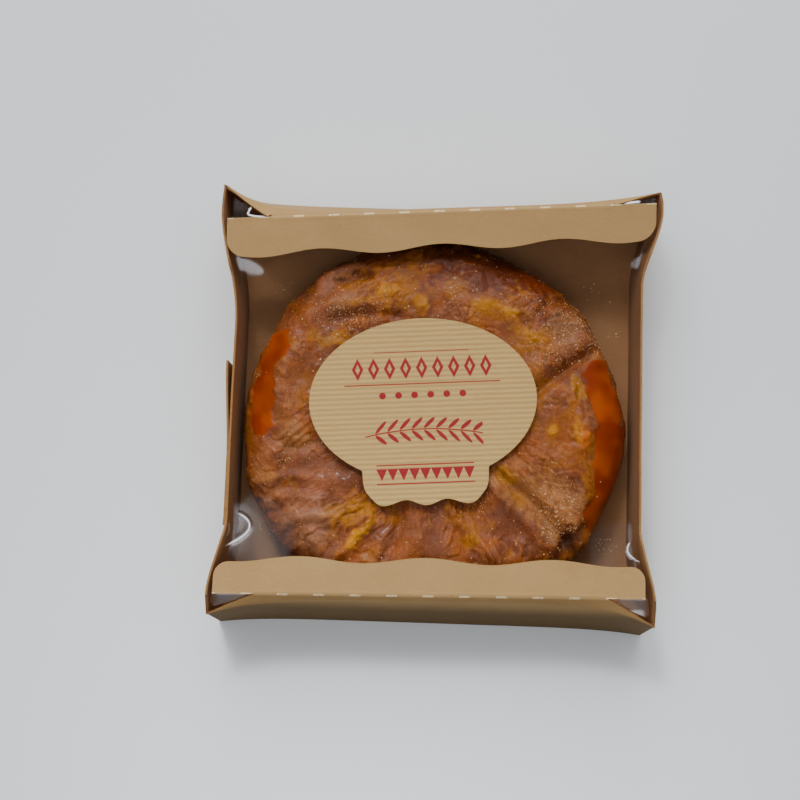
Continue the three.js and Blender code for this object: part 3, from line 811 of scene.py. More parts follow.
def build_carton():
    """All the card as one piece: each panel is a closed sheet."""
    sheets = [back_panel(), glue_tab()]
    for direction in (-1, 1):
        sheets += [side_wall(direction), end_wall(direction), flap(direction)]
    starts = np.cumsum([0] + [len(points) for points, _, _ in sheets])
    points = np.concatenate([sheet[0] for sheet in sheets])
    faces = np.concatenate([start + sheet[1] for start, sheet in zip(starts, sheets)])
    kinds = np.concatenate([sheet[2] for sheet in sheets])
    outside = kraft("kraft_outside", *KRAFT_OUTSIDE, painted_fold_light_and_shade=True)
    # Painted shade: the inside faces take the darker copy of the kraft.
    inside = kraft("kraft_inside_painted_shade", *KRAFT_INSIDE_PAINTED_SHADE)
    made = piece("kraft_carton", points, faces, [outside, inside, cut_edge_material()], kinds, sharp=40)
    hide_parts("carton")
    return made


# ---- Film and label ----

# Bent ridges in the film at the corners, each with a painted highlight along it: from, via, to, width,
# strength.
FILM_RIDGES_WITH_PAINTED_HIGHLIGHTS = [
    ((-90.4, -53.7), (-72.8, -60.6), (-97.2, -70.8), 0.3, 1.0),
    ((-94.6, -57.1), (-90.0, -61.3), (-96.2, -68.3), 0.26, 0.7),
    ((90.2, -61.5), (84.5, -67.8), (98.0, -72.2), 0.3, 1.0),
    ((-87.9, 92.3), (-91.0, 88.5), (-90.9, 85.4), 0.3, 1.0),
    ((-91.2, 86.0), (-88.0, 83.9), (-80.5, 84.9), 0.35, 1.0),
    ((83.0, 95.3), (88.0, 96.0), (93.0, 96.6), 0.5, 1.0),
    ((-97.6, 69.0), (-97.0, 63.0), (-95.2, 56.0), 0.4, 0.5),
]
# Patches of painted sheen, where the film turns pale, or with its reflection painted out where the strength
# is below zero: centre, half lengths, turn in degrees, strength.
FILM_PAINTED_SHEEN_PATCHES = [
    ((-88.5, 60.3), (8.2, 3.6), -27, 0.2),
    ((92.4, 68.0), (5.4, 2.3), 33, 0.17),
    ((-78, -64), (18, 20), 10, 0.09),
    ((84, -66), (14, 14), 0, 0.06),
    ((-93, -93), (12, 5), 0, 0.3),
    ((93, -91), (12, 5), 0, 0.3),
    ((-90, 91), (16, 7), 0, -0.005),
    ((90, 99), (16, 7), 0, -0.005),
]
# Columns and rows of the film: shares of its half width and half length, each with its cells up to the
# next share.
FILM_COLUMNS = ((-1, 62), (-0.72, 96), (0.72, 62), (1, 0))
FILM_ROWS = ((-1, 84), (-0.5, 82), (0.82, 50), (1, 0))


def spaced(stops):
    """Shares evenly spaced between stops, each of which has its number of cells up to the next one."""
    cells = np.cumsum([0] + [count for _, count in stops[:-1]])
    return np.interp(np.arange(cells[-1] + 1), cells, [share for share, _ in stops])


def film_past(end, x):
    """How far the film passes the fold: it stops short of the fold, and fills the openings at the ears."""
    opened = smoothstep(np.abs(x), EAR_X - 2, EAR_X + 8)
    opening = np.abs(crease_y(end, x)) - np.abs(fold_y(end, x)) - CARD - GAP - FILM_SHORT_OF_EAR
    return lerp(-FILM_SHORT_OF_FOLD, opening, opened)


def nearest_fold(x, y):
    """Distance from the middle to the fold of the flap on this side of it."""
    return np.where(y > 0, np.abs(fold_y(1, x)), np.abs(fold_y(-1, x)))


def film_edge(side, y):
    """Half width of the film: just clear of the card at the height of the side walls."""
    return half_width(side, y, SIDE_MID_HEIGHT) - CARD - GAP


def film_top(x, y):
    """Height of the film: level over the cake, rising to the flaps, falling at its sides and in the
    ears."""
    past = np.maximum(0, np.abs(y) - nearest_fold(x, y))
    rise = FILM_RISE * smoothstep(np.abs(y), 20, 72) + 0.5 * smoothstep(np.abs(y), 74, 88)
    inner = film_edge(np.sign(x), y) - FILM_CURL_WIDTH
    curl = clamp((np.abs(x) - inner) / FILM_CURL_WIDTH, 0, 1)
    fall = EAR_FILM["slope"] * past + EAR_FILM["extra"] * np.minimum(past, EAR_FILM["within"])
    return FILM_Z + rise - FILM_CURL_DROP * curl**2 - fall


def film_sag(x, y):
    """Slack of the film: slow waves, a sag over the cake, and a dip towards each of the two lower
    corners."""
    dip = smoothstep(np.hypot(np.abs(x) - 96, y + 74), 34, 4)
    sag = smoothstep(np.hypot(x, y), 84, 60)
    return 0.2 * noise(x, y, 33, 61) + 0.08 * noise(x, y, 13, 62) - FILM_CORNER_DIP * dip - FILM_SAG * sag


def build_film():
    """The film: a thin closed sheet over the window, with rows and columns closest where its creases
    are."""
    u, v = np.meshgrid(spaced(FILM_COLUMNS), spaced(FILM_ROWS))
    end = np.where(v > 0, 1, -1)
    x = u * film_edge(np.sign(u), v * nearest_fold(u * END_HALF_WIDTH, v))
    past = np.where(v > 0, film_past(1, x), film_past(-1, x))
    y = end * np.abs(v) * (nearest_fold(x, v) + past)
    x = np.sign(x) * np.minimum(np.abs(x), film_edge(np.sign(x), y))
    painted_sheen = np.zeros(x.shape)
    z = film_top(x, y) + film_sag(x, y)
    # Painted sheen in patches; a strength below zero paints the reflection out.
    for centre, size, turn, strength in FILM_PAINTED_SHEEN_PATCHES:
        off = oval_distance(x, y, centre, size, turn) + 0.1 * noise(x, y, 4, 63)
        painted_sheen = painted_sheen + strength * (1 - smoothstep(off, 0.8, 1.05))
    # Each ridge lifts the film a little and carries a painted highlight.
    for start, via, stop, width, strength in FILM_RIDGES_WITH_PAINTED_HIGHLIGHTS:
        off, along = near_line((start, via, stop), x, y, pieces=30)
        ends = smoothstep(along, 0, 0.15) * (1 - smoothstep(along, 0.85, 1))
        painted_sheen = np.maximum(painted_sheen, strength * ends * np.exp(-((off / width) ** 2)))
        z = z + 0.25 * ends * np.exp(-((off / (3 * width)) ** 2))
    top = np.stack([x, y, z], -1)
    under = top - np.array([0, 0, FILM_THICKNESS])
    points, faces, _ = closed_sheet(top, under)
    both = np.concatenate([painted_sheen.ravel(), painted_sheen.ravel()])
    made = piece("window_film", points, faces, [film_material()], attributes={"painted_sheen": both}, sharp=60)
    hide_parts("film_window")
    return made


LABEL_RINGS = 40
LABEL_SIDES = 300


def label_reach(angle):
    """Distance from the label's centre to its cut edge: an oval, and below it a rounded oblong lobe whose
    foot is a cosine wave. The farther of the two counts."""
    c, s = np.cos(angle), np.sin(angle)
    oval = 1 / np.hypot(c / LABEL_HALF[0], s / LABEL_HALF[1])
    across = LOBE["bottom"] * c / np.maximum(-s, 0.2)
    bottom = LOBE["bottom"] + LOBE["scallop"] * np.cos(2 * np.pi * across / LOBE["scallop_width"])
    n = LOBE["squareness"]
    lobe = 1 / (np.abs(c / LOBE["half"]) ** n + np.abs(s / bottom) ** n) ** (1 / n)
    return np.where(s > 0, oval, np.maximum(oval, lobe))


def disc(grid):
    """A closed body from rings of points, wrapped round, with a pole amid its first ring and amid its
    last."""
    rings, sides = grid.shape[:2]
    points = np.concatenate([[grid[0].mean(0), grid[-1].mean(0)], grid.reshape(-1, 3)])
    faces = grid_faces(rings, sides, first=2, wrap=True)
    quads = outward_faces(points, faces)
    first = 2 + np.arange(sides)
    last = first + (rings - 1) * sides
    fans = [surface(0, first, np.roll(first, -1)), surface(1, np.roll(last, -1), last)]
    fans = np.concatenate(fans)
    return points, quads, fans if np.array_equal(quads, faces) else fans[:, ::-1]


def build_label():
    """The label on the film: rings run out over its face and back under it."""
    outward_shares = np.linspace(0.02, 1, LABEL_RINGS)
    shares = np.concatenate([outward_shares, np.linspace(1, 0.02, LABEL_RINGS)])[:, None]
    angles = np.linspace(0, 2 * np.pi, LABEL_SIDES, endpoint=False)
    reach = shares * label_reach(angles)
    x = LABEL_CENTRE[0] + reach * np.cos(angles + LABEL_TURN)
    y = LABEL_CENTRE[1] + reach * np.sin(angles + LABEL_TURN)
    lift = np.repeat([LABEL_LIFT + LABEL_THICKNESS, LABEL_LIFT], LABEL_RINGS)[:, None]
    points, faces, fans = disc(np.stack([x, y, film_top(x, y) + film_sag(x, y) + lift], -1))
    made = piece("paper_label", points, faces, [label_material()], sharp=50, fans=fans)
    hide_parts("label")
    return made


# ---- Cake ----

# Tones of the crust, as linear light.
TINTS = {
    "umber": np.array([0.158, 0.042, 0.012]),
    "rose": np.array([0.248, 0.076, 0.027]),
    "mauve": np.array([0.155, 0.054, 0.030]),
    "mahogany": np.array([0.112, 0.022, 0.005]),
    # Painted shade under the edge of the top flap and in a deep pit.
    "painted_deep_shade": np.array([0.050, 0.012, 0.004]),
    "amber": np.array([0.272, 0.068, 0.006]),
    "gold": np.array([0.310, 0.100, 0.008]),
    "yellow": np.array([0.500, 0.200, 0.003]),
    "orange": np.array([0.440, 0.092, 0.001]),
    "tan": np.array([0.315, 0.122, 0.038]),
    "sand": np.array([0.250, 0.116, 0.046]),
    "pale": np.array([0.370, 0.178, 0.098]),
    "rust": np.array([0.140, 0.020, 0.002]),
    # Painted shade: near black, for hollows.
    "painted_hollow_shade": np.array([0.018, 0.005, 0.002]),
}

# Patches of the crust by tone: centre, half length and half width, turn in degrees, tint, strength. The
# near-black and darkest brown ones are painted shade in hollows, in a deep pit and under the top flap's
# edge.
PATCHES = [
    ((-45, 59), (9, 2), 14, "tan", 0.8),
    ((-46, 58), (5, 1.0), 7, "painted_hollow_shade", 0.8),
    ((-40, 61), (3, 1.2), 32, "painted_hollow_shade", 0.8),
    ((-18, 51), (15, 8), 2, "gold", 0.9),
    ((-45, 46), (7, 3.4), 22, "tan", 0.8),
    ((-52, 37), (10, 6), 22, "mauve", 0.5),
    ((-49, 28), (8, 4), 27, "yellow", 0.45),
    ((-72, 6), (8, 20), 7, "rose", 0.6),
    ((22, 66), (32, 15), -1, "mahogany", 1.0),
    ((24, 64), (26, 12), -1, "mahogany", 1.0),
    ((46, 57), (17, 8), -24, "mahogany", 1.0),
    ((5, 69), (10, 4), 2, "painted_deep_shade", 0.25),
    ((38, 69), (8, 4), -8, "painted_deep_shade", 0.25),
    ((46, 60), (9, 4), -28, "rust", 0.6),
    ((18, 71), (1.2, 1), 2, "yellow", 1),
    ((8, 54), (6, 6), 22, "gold", 0.7),
    ((27, 45), (15, 5), -12, "gold", 0.9),
    ((36, 53), (2, 2), 2, "rust", 0.8),
    ((50, 42), (4, 3), 42, "rust", 0.8),
    ((59, 37), (10, 9), -18, "sand", 0.6),
    ((44, 30), (12, 8), -13, "gold", 0.8),
    ((75, 24), (3, 5), -38, "tan", 0.8),
    ((-77, -14), (3.4, 4), 2, "mauve", 0.8),
    ((-66, -18), (9, 6), -10, "tan", 0.7),
    ((-40, -52), (10, 6), 12, "yellow", 0.35),
    ((-35, -63.5), (11, 2.6), 45, "yellow", 0.95),
    ((62, -16), (10, 16), 12, "amber", 0.7),
    ((54.5, -11.5), (3, 2), 35, "yellow", 1),
    ((68, -15), (3, 7), 12, "orange", 0.8),
    ((61, -43), (8, 7), 2, "sand", 0.6),
    ((52, -42), (20, 13), -35, "tan", 0.8),
    ((53, -58), (4, 6), 32, "sand", 0.7),
    ((37, -38), (13, 8), -33, "tan", 0.9),
    ((14, -50), (6, 3), 22, "amber", 0.7),
    ((27, -64), (5, 3), 22, "amber", 0.7),
    ((64, -63), (5, 4), -38, "painted_deep_shade", 0.7),
    ((57, 17), (9, 6), -38, "umber", 0.4),
    ((-24, 53), (5, 3), 10, "yellow", 0.6),
    ((-9, 47), (5, 3), -20, "yellow", 0.45),
    ((-38, 46), (5, 2.5), 20, "yellow", 0.35),
    ((21, 47), (6, 2.5), -8, "yellow", 0.5),
    ((33, 44), (5, 2.2), -15, "yellow", 0.6),
    ((44, 32), (6, 3), -20, "yellow", 0.45),
    ((33, -33), (6, 4), -35, "yellow", 0.5),
    ((39, -43), (5, 3), -35, "yellow", 0.4),
    ((66, 9), (3, 6), 30, "yellow", 0.45),
    ((66, -12), (2.2, 7), 5, "yellow", 0.6),
    ((19, -62), (6, 3), 60, "yellow", 0.3),
    ((-30, -50), (5, 3), 30, "yellow", 0.45),
    ((-58, 30), (4, 3), 30, "yellow", 0.3),
    # Painted light and painted film sheen: these pale patches lighten the lower-left rim.
    ((-58, -60), (19, 11), -42, "pale", 0.4),
    ((-78, -38), (6, 12), 20, "pale", 0.3),
]

# Pools of set caramel, which are bent bands: from, via, to, half width. Then their tone where thin and
# deep.
POOLS = [
    ((-74, 28), (-86, 10), (-79, -13), 5.2),
    ((74, 15), (88, -6), (78, -50), 7.4),
]
POOL_THIN = np.array([0.31, 0.050, 0.0008])
POOL_DEEP = np.array([0.205, 0.022, 0.0005])
# The smooth dark cap of glaze: centre and half lengths.
GLAZED = ((24, 64), (34, 13))
CRUST_SIDES = 760
# Radii of the bends over which the relief runs on down the rim, and in under it.
RIM_BEND = 18.7
FOOT_BEND = 14


def fold_height(fold, x, y):
    """Height of one fold: a bell across its line, exp(-(d / width)^2), fading towards both of its ends."""
    start, via, stop, width, height = fold
    off, where = near_line((start, via, stop), x, y, pieces=10)
    fade = smoothstep(where, -0.25, 0.15) * (1 - smoothstep(where, 0.85, 1.25))
    return height * fade * np.exp(-((off / width) ** 2))


def pool_mask(x, y):
    """1 inside a caramel pool, 0 outside: a step across each band's edge, made ragged by noise."""
    total = np.zeros(np.shape(x))
    ragged = 2.1 * noise(x, y, 7, 71) + 1.2 * noise(x, y, 3, 72)
    for start, via, stop, half in POOLS:
        off, _ = near_line((start, via, stop), x, y)
        total = np.maximum(total, 1 - smoothstep(off + ragged, half - 0.5, half + 0.5))
    return total


def glazed_mask(x, y):
    """1 on the smooth dark cap of glaze under the top flap: an oval with a wavering edge."""
    centre, size = GLAZED
    off = oval_distance(x, y, centre, size, 0) + 0.25 * noise(x, y, 9, 73)
    return 1 - smoothstep(off, 0.7, 1.1)


def overlapped(field, sharp):
    """Overlapping flakes: each rises along the field and ends in a step, by a power of the field's
    fraction."""
    return (field - np.floor(field)) ** sharp


def flaky_layers(x, y):
    """Edges and wrinkles of the dough's layers, which lap round the rim above and fan out below.

    Flakes are overlapped fields of the radius or the angle. Wrinkles are the places where a noise stretched
    along the layers crosses zero.
    """
    dx, dy = x - CAKE_CENTRE[0], y - CAKE_CENTRE[1]
    radius = np.hypot(dx, dy)
    turns = np.arctan2(dy, dx) / (2 * np.pi)
    c, s = dx / np.maximum(radius, 1), dy / np.maximum(radius, 1)
    warp = 1.5 * noise(x, y, 19, 81) + 0.6 * noise(x, y, 8, 82) + 0.22 * noise(x, y, 3.5, 83)
    fan = overlapped(69 * turns + warp, 1.6)
    fine_fan = overlapped(170 * turns + 1.7 * warp + 0.02 * radius, 1.3)
    lap = overlapped(radius / 7.5 + 1.2 * warp + 6 * turns, 1.6)
    fine_lap = overlapped(radius / 3.1 - 1.5 * warp + 12 * turns, 1.3)
    below = smoothstep(-dy + 12 * noise(x, y, 25, 84), -16, 24)
    coarse, fine = lerp(lap, fan, below), lerp(fine_lap, fine_fan, below)
    fanned = noise(60 * c + 0.4 * radius, 60 * s + 0.4 * radius, 4.4, 95)
    lapped = noise(18 * c + radius, 18 * s - radius, 4.4, 96)
    stretched = lerp(lapped, fanned, below) + 0.4 * noise(x, y, 4, 97) + 0.2 * noise(x, y, 1.8, 98)
    wrinkles = 1 - smoothstep(np.abs(stretched), 0.02, 0.2)
    worn = smoothstep(noise(x, y, 11, 85) + 0.4 * noise(x, y, 5, 86), -0.5, 0.35)
    fresh = smoothstep(noise(x, y, 9, 87), -0.4, 0.5)
    return worn * coarse, fresh * fine, lerp(0.35, 1, worn) * wrinkles


def crust_relief(x, y, ux, uy):
    """Lift of the crust: folds, two sizes of lumps, layers' edges, less its wrinkles, and blisters. (ux,
    uy) is the place unrolled over the rim, so that the relief is not stretched there."""
    folds = sum(fold_height(fold, x, y) for fold in FOLDS)
    lumps = 1.1 * noise(ux, uy, 15, RELIEF_SEED) + 0.6 * noise(ux, uy, 7, RELIEF_SEED + 1)
    coarse, fine, wrinkles = flaky_layers(ux + CAKE_CENTRE[0], uy + CAKE_CENTRE[1])
    blisters = 0.3 * noise(ux, uy, 3.6, 91) + 0.12 * noise(ux, uy, 1.9, 92)
    calm = (1 - 0.95 * pool_mask(x, y)) * (1 - 0.45 * glazed_mask(x, y))
    layers = 0.7 * coarse + 0.35 * fine - 0.42 * wrinkles + blisters - 0.3
    return folds + lumps * (0.4 + 0.6 * calm) + calm * layers, coarse, fine, wrinkles


def cake_radius(angle):
    """Radius of the cake's outline: a circle with waves of two, three and seven to a turn."""
    two, three, seven = (np.cos(count * angle + phase) for count, phase in ((2, 0.6), (3, 0.79), (7, 0)))
    return CAKE_RADIUS + 0.7 * two + 0.9 * three + 0.4 * seven


def inside_tray(x, y, z):
    """The tray walls stop the cake from spreading, so points beyond them are moved back to them."""
    low = lerp(back_y(-1, x), crease_y(-1, x), clamp(z / crease_z(x), 0, 1)) + CARD + GAP
    side = half_width(np.sign(x), y, z) - CARD - GAP
    return clamp(x, -side, side), np.maximum(y, low)


def crust_stages():
    """Rows of the cake's profile: straight over the flat top, then a quarter oval down to the widest
    place and a quarter oval in to the foot. They are given as columns: share of the flat top or nan
    beyond it, inset from the outline, height, outward and upward parts of the relief, and run along the
    surface."""
    top = np.concatenate([np.linspace(0.02, 0.4, 9), np.linspace(0.4, 1, 72)[1:]])
    stages = [(share, 0, 0, 0, 1, 0) for share in top]
    for a in np.linspace(0, math.pi / 2, 36)[1:]:
        z = WIDEST_Z + (CAKE_TOP - WIDEST_Z) * math.cos(a)
        stages.append((math.nan, RIM * (1 - math.sin(a)), z, math.sin(a), math.cos(a), RIM_BEND * a))
    for a in np.linspace(0, math.pi / 2, 9)[1:]:
        z = WIDEST_Z - (WIDEST_Z - CAKE_BASE) * math.sin(a)
        run = RIM_BEND * math.pi / 2 + FOOT_BEND * a
        stages.append((math.nan, FOOT * (1 - math.cos(a)), z, math.cos(a), 0, run))
    return [np.array(column, float)[:, None] for column in zip(*stages)]


def crust_colour(x, y, z, coarse, fine, wrinkles):
    """Tone of every point: browns mixed by noise, then the patches, then gold edges, and painted light and
    shade: lighter crests, darker wrinkles and a darker foot."""
    mix = smoothstep(noise(x, y, 17, 101) + 0.6 * noise(x, y, 6, 102), -0.5, 0.5)[..., None]
    colour = lerp(TINTS["umber"], TINTS["rose"], mix)
    warm = smoothstep(noise(x, y, 12, 103) + 0.5 * noise(x, y, 4, 104), -0.15, 0.7)[..., None]
    colour = lerp(colour, TINTS["amber"], 0.7 * warm)
    gilt = smoothstep(noise(x, y, 9, 110) + 0.5 * noise(x, y, 3, 113), 0.2, 0.6)[..., None]
    colour = lerp(colour, TINTS["gold"], 0.7 * gilt)
    cool = smoothstep(noise(x, y, 10, 105) + 0.4 * noise(x, y, 4, 106), 0.3, 1.0)[..., None]
    colour = lerp(colour, TINTS["mauve"], 0.5 * cool)
    ragged = 0.35 * noise(x, y, 4, 107) + 0.25 * noise(x, y, 1.8, 108)
    for centre, size, turn, tint, strength in PATCHES:
        off = oval_distance(x, y, centre, size, turn) + ragged
        share = strength * (1 - smoothstep(off, 0.55, 1.25))
        colour = lerp(colour, TINTS[tint], share[..., None])
    # Painted light: the crests of the flakes are lightened, with some random variation.
    crest = clamp(0.35 + 0.45 * coarse + 0.3 * fine + 0.2 * noise(x, y, 2.6, 109), 0, 1)[..., None]
    colour = lerp(colour, TINTS["gold"], 0.35 * smoothstep(coarse, 0.55, 0.95)[..., None])
    # Painted shade: the wrinkles are darkened, less so on the glazed cap.
    painted_wrinkle_shade = 0.22 * wrinkles * (1 - 0.8 * glazed_mask(x, y))
    colour = colour * lerp(0.78, 1.16, crest) * (1 - painted_wrinkle_shade[..., None])
    # Painted shade: the cake darkens towards its foot.
    side = smoothstep(z, 4, 26)[..., None]
    return colour * lerp(0.8, 1.0, side)


def pool_colour(x, y):
    """Set caramel: dark red where it is deep, clear orange where it is thin or lit through."""
    deep = smoothstep(noise(x, y, 12, 111) + 0.5 * noise(x, y, 5, 112), -0.5, 0.6)[..., None]
    return lerp(POOL_THIN, POOL_DEEP, deep)


def build_crust():
    """The cake: rows down its profile and columns round its outline, each point lifted by the crust's
    relief."""
    share, inset, rise, out, up, run = crust_stages()
    angle = np.arange(CRUST_SIDES) / CRUST_SIDES * 2 * np.pi
    radius = cake_radius(angle)
    flat = radius - RIM
    on_top = ~np.isnan(share)
    share = np.nan_to_num(share)
    reach = np.where(on_top, share * flat, radius - inset)
    unrolled = np.where(on_top, reach, flat + run)
    x = CAKE_CENTRE[0] + reach * np.cos(angle)
    y = CAKE_CENTRE[1] + reach * np.sin(angle)
    lift, coarse, fine, wrinkles = crust_relief(x, y, unrolled * np.cos(angle), unrolled * np.sin(angle))
    plain = np.where(on_top, CAKE_TOP + CAKE_CROWN * (1 - share**2), rise)
    z = np.maximum(CAKE_BASE + 0.4, plain + up * lift)
    z[-1] = CAKE_BASE
    out = out * lift
    out[-1] = 0
    z = np.where(z > PRESS_START, PRESS_START + PRESS_SHARE * (z - PRESS_START), z)
    px, py = inside_tray(x + out * np.cos(angle), y + out * np.sin(angle), z)
    pooled = pool_mask(x, y) * smoothstep(z, 20, 28)
    caramel = np.maximum(pooled, 0.3 * glazed_mask(x, y))
    colour = crust_colour(px, py, z, coarse, fine, wrinkles)
    colour = lerp(colour, pool_colour(px, py), pooled[..., None])
    grid = np.stack([px, py, z], -1)
    points, faces, fans = disc(grid)
    colours = np.concatenate([colour[0, :1], colour[-1, :1], colour.reshape(-1, 3)])
    colours = np.concatenate([colours, np.ones((len(colours), 1))], 1)
    attributes = {"crust_tone": colours, "caramel": np.concatenate([[0, 0], caramel.ravel()])}
    made = piece("caramel_crust", points, faces, [crust_material()], attributes=attributes, fans=fans)
    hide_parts("kouign_amann")
    return grid, caramel


# ---- Loose grains ----

SUGAR_COUNT = 3000
SUGAR_SEED = 5
SUGAR_SIZE = (0.2, 0.75)
SUGAR_BETWEEN_HEAPS = 0.04
SUGAR_RAISED = 0.08
# Heaps of sugar on the crust: centre and spread.
SUGAR_HEAPS = [
    ((-24, 48), 3),
    ((-48, 40), 9),
    ((-36, 40), 8),
    ((8, 54), 5),
    ((44, 47), 3.5),
    ((57, 33), 13),
    ((62, 36), 8),
    ((65, 34), 4),
    ((74, 30), 4),
    ((-84, 13), 3.5),
    ((-80, 26), 4),
    ((61, -44), 9),
    ((56, -54), 8),
    ((-68, -28), 3),
    ((20, -48), 4),
]
CRUMB_COUNT = 70
CRUMB_SEED = 9
CRUMB_SIZE = (0.35, 1.1)
# Where crumbs lie on the back panel: centre and spread.
CRUMB_SPOTS = [
    ((76, 62), 7),
    ((87, 40), 3),
    ((88, 10), 2),
    ((-80, 60), 6),
    ((-84, -58), 5),
    ((82, -62), 5),
]
BOX_CORNERS = np.array([[i, j, k] for i in (-1, 1) for j in (-1, 1) for k in (-1, 1)], float)
BOX_FACES = np.array([[0, 1, 3, 2], [4, 6, 7, 5], [0, 4, 5, 1], [2, 3, 7, 6], [0, 2, 6, 4], [1, 5, 7, 3]])


def grains(draw, centres, halves):
    """Small boxes with knocked corners, each turned its own way: corners by half size by a random turn."""
    count = len(centres)
    turns, _ = np.linalg.qr(draw.normal(size=(count, 3, 3)))
    turns = turns * np.linalg.det(turns)[:, None, None]
    corners = BOX_CORNERS * draw.uniform(0.7, 1.0, (count, 8, 1)) * halves[:, None, :]
    points = np.einsum("nij,njk->nik", corners, turns) + centres[:, None]
    faces = BOX_FACES[None] + 8 * np.arange(count)[:, None, None]
    return points.reshape(-1, 3), faces.reshape(-1, 4)


def heaped(heaps, x, y):
    """How thickly grains lie: the sum of a bell round each heap."""
    return sum(np.exp(-((x - cx) ** 2 + (y - cy) ** 2) / spread**2) for (cx, cy), spread in heaps)


def build_sugar(grid, caramel):
    """Sugar crystals half sunk in the crust, thick in heaps and thin between them: places are drawn by
    the area and the heaps, and small sizes are the most common."""
    draw = np.random.default_rng(SUGAR_SEED)
    across = np.cross(np.gradient(grid, axis=1), np.gradient(grid, axis=0))
    thick = SUGAR_BETWEEN_HEAPS + heaped(SUGAR_HEAPS, grid[..., 0], grid[..., 1])
    weight = np.linalg.norm(across, axis=-1) * thick
    weight = (weight * (grid[..., 2] > 24) * (1 - 0.97 * caramel)).ravel()
    picked = draw.choice(weight.size, SUGAR_COUNT, replace=False, p=weight / weight.sum())
    sizes = SUGAR_SIZE[0] + (SUGAR_SIZE[1] - SUGAR_SIZE[0]) * draw.random((SUGAR_COUNT, 1)) ** 2.4
    halves = draw.uniform(0.6, 1.0, (SUGAR_COUNT, 3)) * sizes / 2
    centres = grid.reshape(-1, 3)[picked] + np.array([0, 0, SUGAR_RAISED])
    made = piece("sugar_crystals", *grains(draw, centres, halves), [sugar_material()], sharp=20)
    return made


def build_crumbs():
    """Crumbs of crust that have dropped on the back panel beside the cake."""
    draw = np.random.default_rng(CRUMB_SEED)
    which = draw.integers(len(CRUMB_SPOTS), size=CRUMB_COUNT)
    spots = np.array([spot for spot, _ in CRUMB_SPOTS])[which]
    spread = np.array([far for _, far in CRUMB_SPOTS])[which][:, None]
    spots = spots + draw.normal(size=(CRUMB_COUNT, 2)) * spread * 0.6
    halves = draw.uniform(0.5, 1.0, (CRUMB_COUNT, 3)) * draw.uniform(*CRUMB_SIZE, (CRUMB_COUNT, 1)) / 2
    centres = np.column_stack([spots, CARD + halves.min(1)])
    made = piece("crumbs", *grains(draw, centres, halves), [crumb_material()], sharp=20)
    return made


# ---- Room ----

# The camera: its lean, its yaw and its roll in degrees, the place it looks at and its distance from
# there, and its focal length in pixels of a picture PICTURE_WIDTH wide.
CAMERA_TURNS = (8.0, 1.5, -1.9)
CAMERA_AIM = np.array([-16.4, -0.7, DEPTH])
CAMERA_DISTANCE = 650
FOCAL_PIXELS = 1421
PICTURE_WIDTH = 800
SENSOR_WIDTH = 36
# The floor: its half length in metres, the points along its side, and its metres below the pack.
FLOOR_HALF = 4
FLOOR_POINTS = 9
FLOOR_DROP = 0.0005


def basis(tilt, yaw, roll):
    """The camera's right, up and backward directions, from its lean, its yaw and its roll."""
    back = np.array([math.tan(yaw), -math.tan(tilt), 1.0])
    back /= np.linalg.norm(back)
    level = np.array([0, 1.0, 0]) - back[1] * back
    level /= np.linalg.norm(level)
    right = np.cross(level, back)
    up = math.cos(roll) * level + math.sin(roll) * right
    right = math.cos(roll) * right - math.sin(roll) * level
    return right, up, back


def place_camera():
    """A camera over the window, leaning a little towards the bottom flap."""
    right, up, back = basis(*(math.radians(turn) for turn in CAMERA_TURNS))
    spot = (CAMERA_AIM + CAMERA_DISTANCE * back) * MM
    data = bpy.data.cameras.new("over_the_window")
    data.sensor_width = SENSOR_WIDTH
    data.lens = FOCAL_PIXELS * SENSOR_WIDTH / PICTURE_WIDTH
    data.clip_start = 0.01
    data.clip_end = 50
    camera = bpy.data.objects.new("over_the_window", data)
    bpy.context.scene.collection.objects.link(camera)
    turn = Matrix(np.stack([right, up, back], 1).tolist()).to_4x4()
    camera.matrix_world = Matrix.Translation(spot.tolist()) @ turn
    bpy.context.scene.camera = camera


def hang(name, data, spot, aim):
    """Puts a light at a spot, turned to its aim. Both are in metres."""
    light = bpy.data.objects.new(name, data)
    bpy.context.scene.collection.objects.link(light)
    away = np.array(spot, float) - np.array(aim, float)
    away /= np.linalg.norm(away)
    side = np.cross([0, 0, 1.0], away)
    side /= np.linalg.norm(side)
    turn = Matrix(np.stack([side, np.cross(away, side), away], 1).tolist()).to_4x4()
    light.matrix_world = Matrix.Translation(spot) @ turn


def lamp(name, spot, aim, size, power):
    """A soft oblong light."""
    data = bpy.data.lights.new(name, "AREA")
    data.shape = "RECTANGLE"
    data.size, data.size_y = size
    data.energy = power
    hang(name, data, spot, aim)


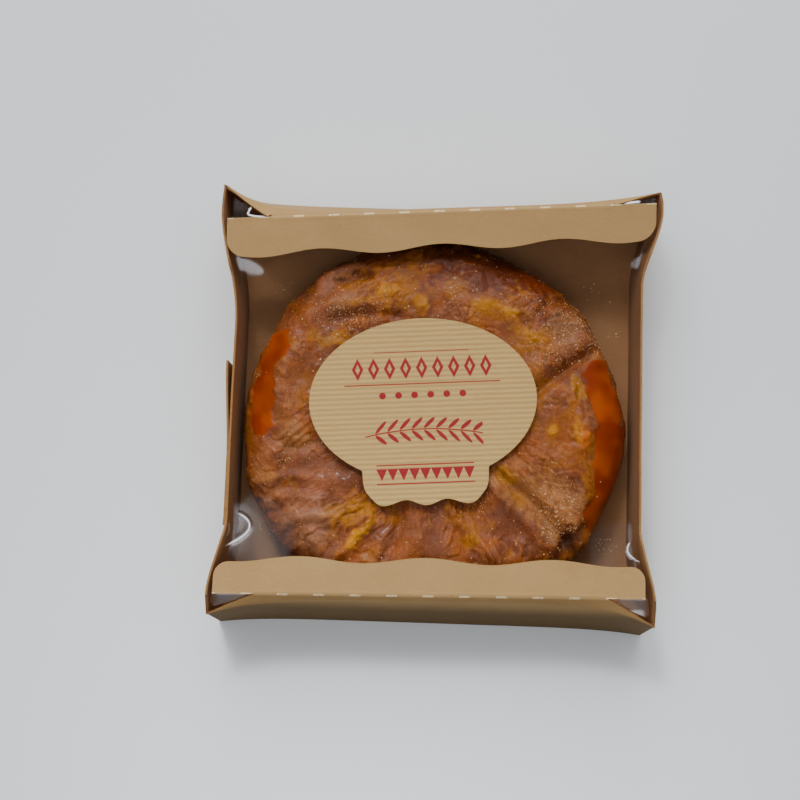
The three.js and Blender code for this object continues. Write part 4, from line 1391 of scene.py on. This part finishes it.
def spotlight(name, spot, aim, cone, power):
    """A round light that fades from the middle of its cone to the edge; the cone is in degrees."""
    data = bpy.data.lights.new(name, "SPOT")
    data.spot_size = math.radians(cone)
    data.spot_blend = 1.0
    data.shadow_soft_size = 0.2
    data.energy = power
    hang(name, data, spot, aim)


def build_room():
    """A plain pale floor under soft light that comes mostly from beyond the top flap, under a dark
    ceiling."""
    world = bpy.data.worlds.new("studio")
    world.use_nodes = True
    tree = world.node_tree
    _, beyond, climb = Value(tree, tree.nodes.new("ShaderNodeTexCoord").outputs["Generated"]).axes()
    sky = climb.rises(0.88, 0.96).blended(np.array([0.76, 0.76, 0.77]), np.array([0.06, 0.06, 0.065]))
    strength = 1 - (1 - beyond.rises(-0.5, 0.4)) * (1 - climb.rises(0.4, 0.8)) * 0.98
    tree.links.new(sky.socket, tree.nodes["Background"].inputs["Color"])
    tree.links.new(strength.socket, tree.nodes["Background"].inputs["Strength"])
    bpy.context.scene.world = world
    lamp("key_from_the_top", (-0.2, 1.4, 1.5), (0, 0, 0), size=(1.9, 1.5), power=36)
    lamp("fill_from_the_front", (-0.2, -0.7, 2.0), (0, 0.05, 0), size=(1.2, 0.8), power=6.5)
    spotlight("glow_on_the_bottom", (-0.35, 0.85, 1.5), (-0.02, -0.25, 0), cone=16.0, power=118)
    spotlight("glow_on_the_top", (-0.1, 1.6, 0.42), (0, 0.1, 0.03), cone=14.0, power=42)
    line = np.linspace(-FLOOR_HALF, FLOOR_HALF, FLOOR_POINTS)
    u, v = np.meshgrid(line, line)
    mesh = bpy.data.meshes.new("floor")
    points = surface(u, v, -FLOOR_DROP).reshape(-1, 3)
    mesh.from_pydata(points.tolist(), [], grid_faces(FLOOR_POINTS, FLOOR_POINTS).tolist())
    material, place, shader = new_material("pale_floor", Roughness=0.7)
    feed(shader, Base_Color=place.grain(260.0, 2.0).blended(tone(228, 232, 236), tone(234, 238, 242)))
    mesh.materials.append(material)
    floor = bpy.data.objects.new("floor", mesh)
    bpy.context.scene.collection.objects.link(floor)


place_camera()
build_room()
build_carton()
build_film()
build_label()
crust_grid, crust_caramel = build_crust()
build_sugar(crust_grid, crust_caramel)
build_crumbs()
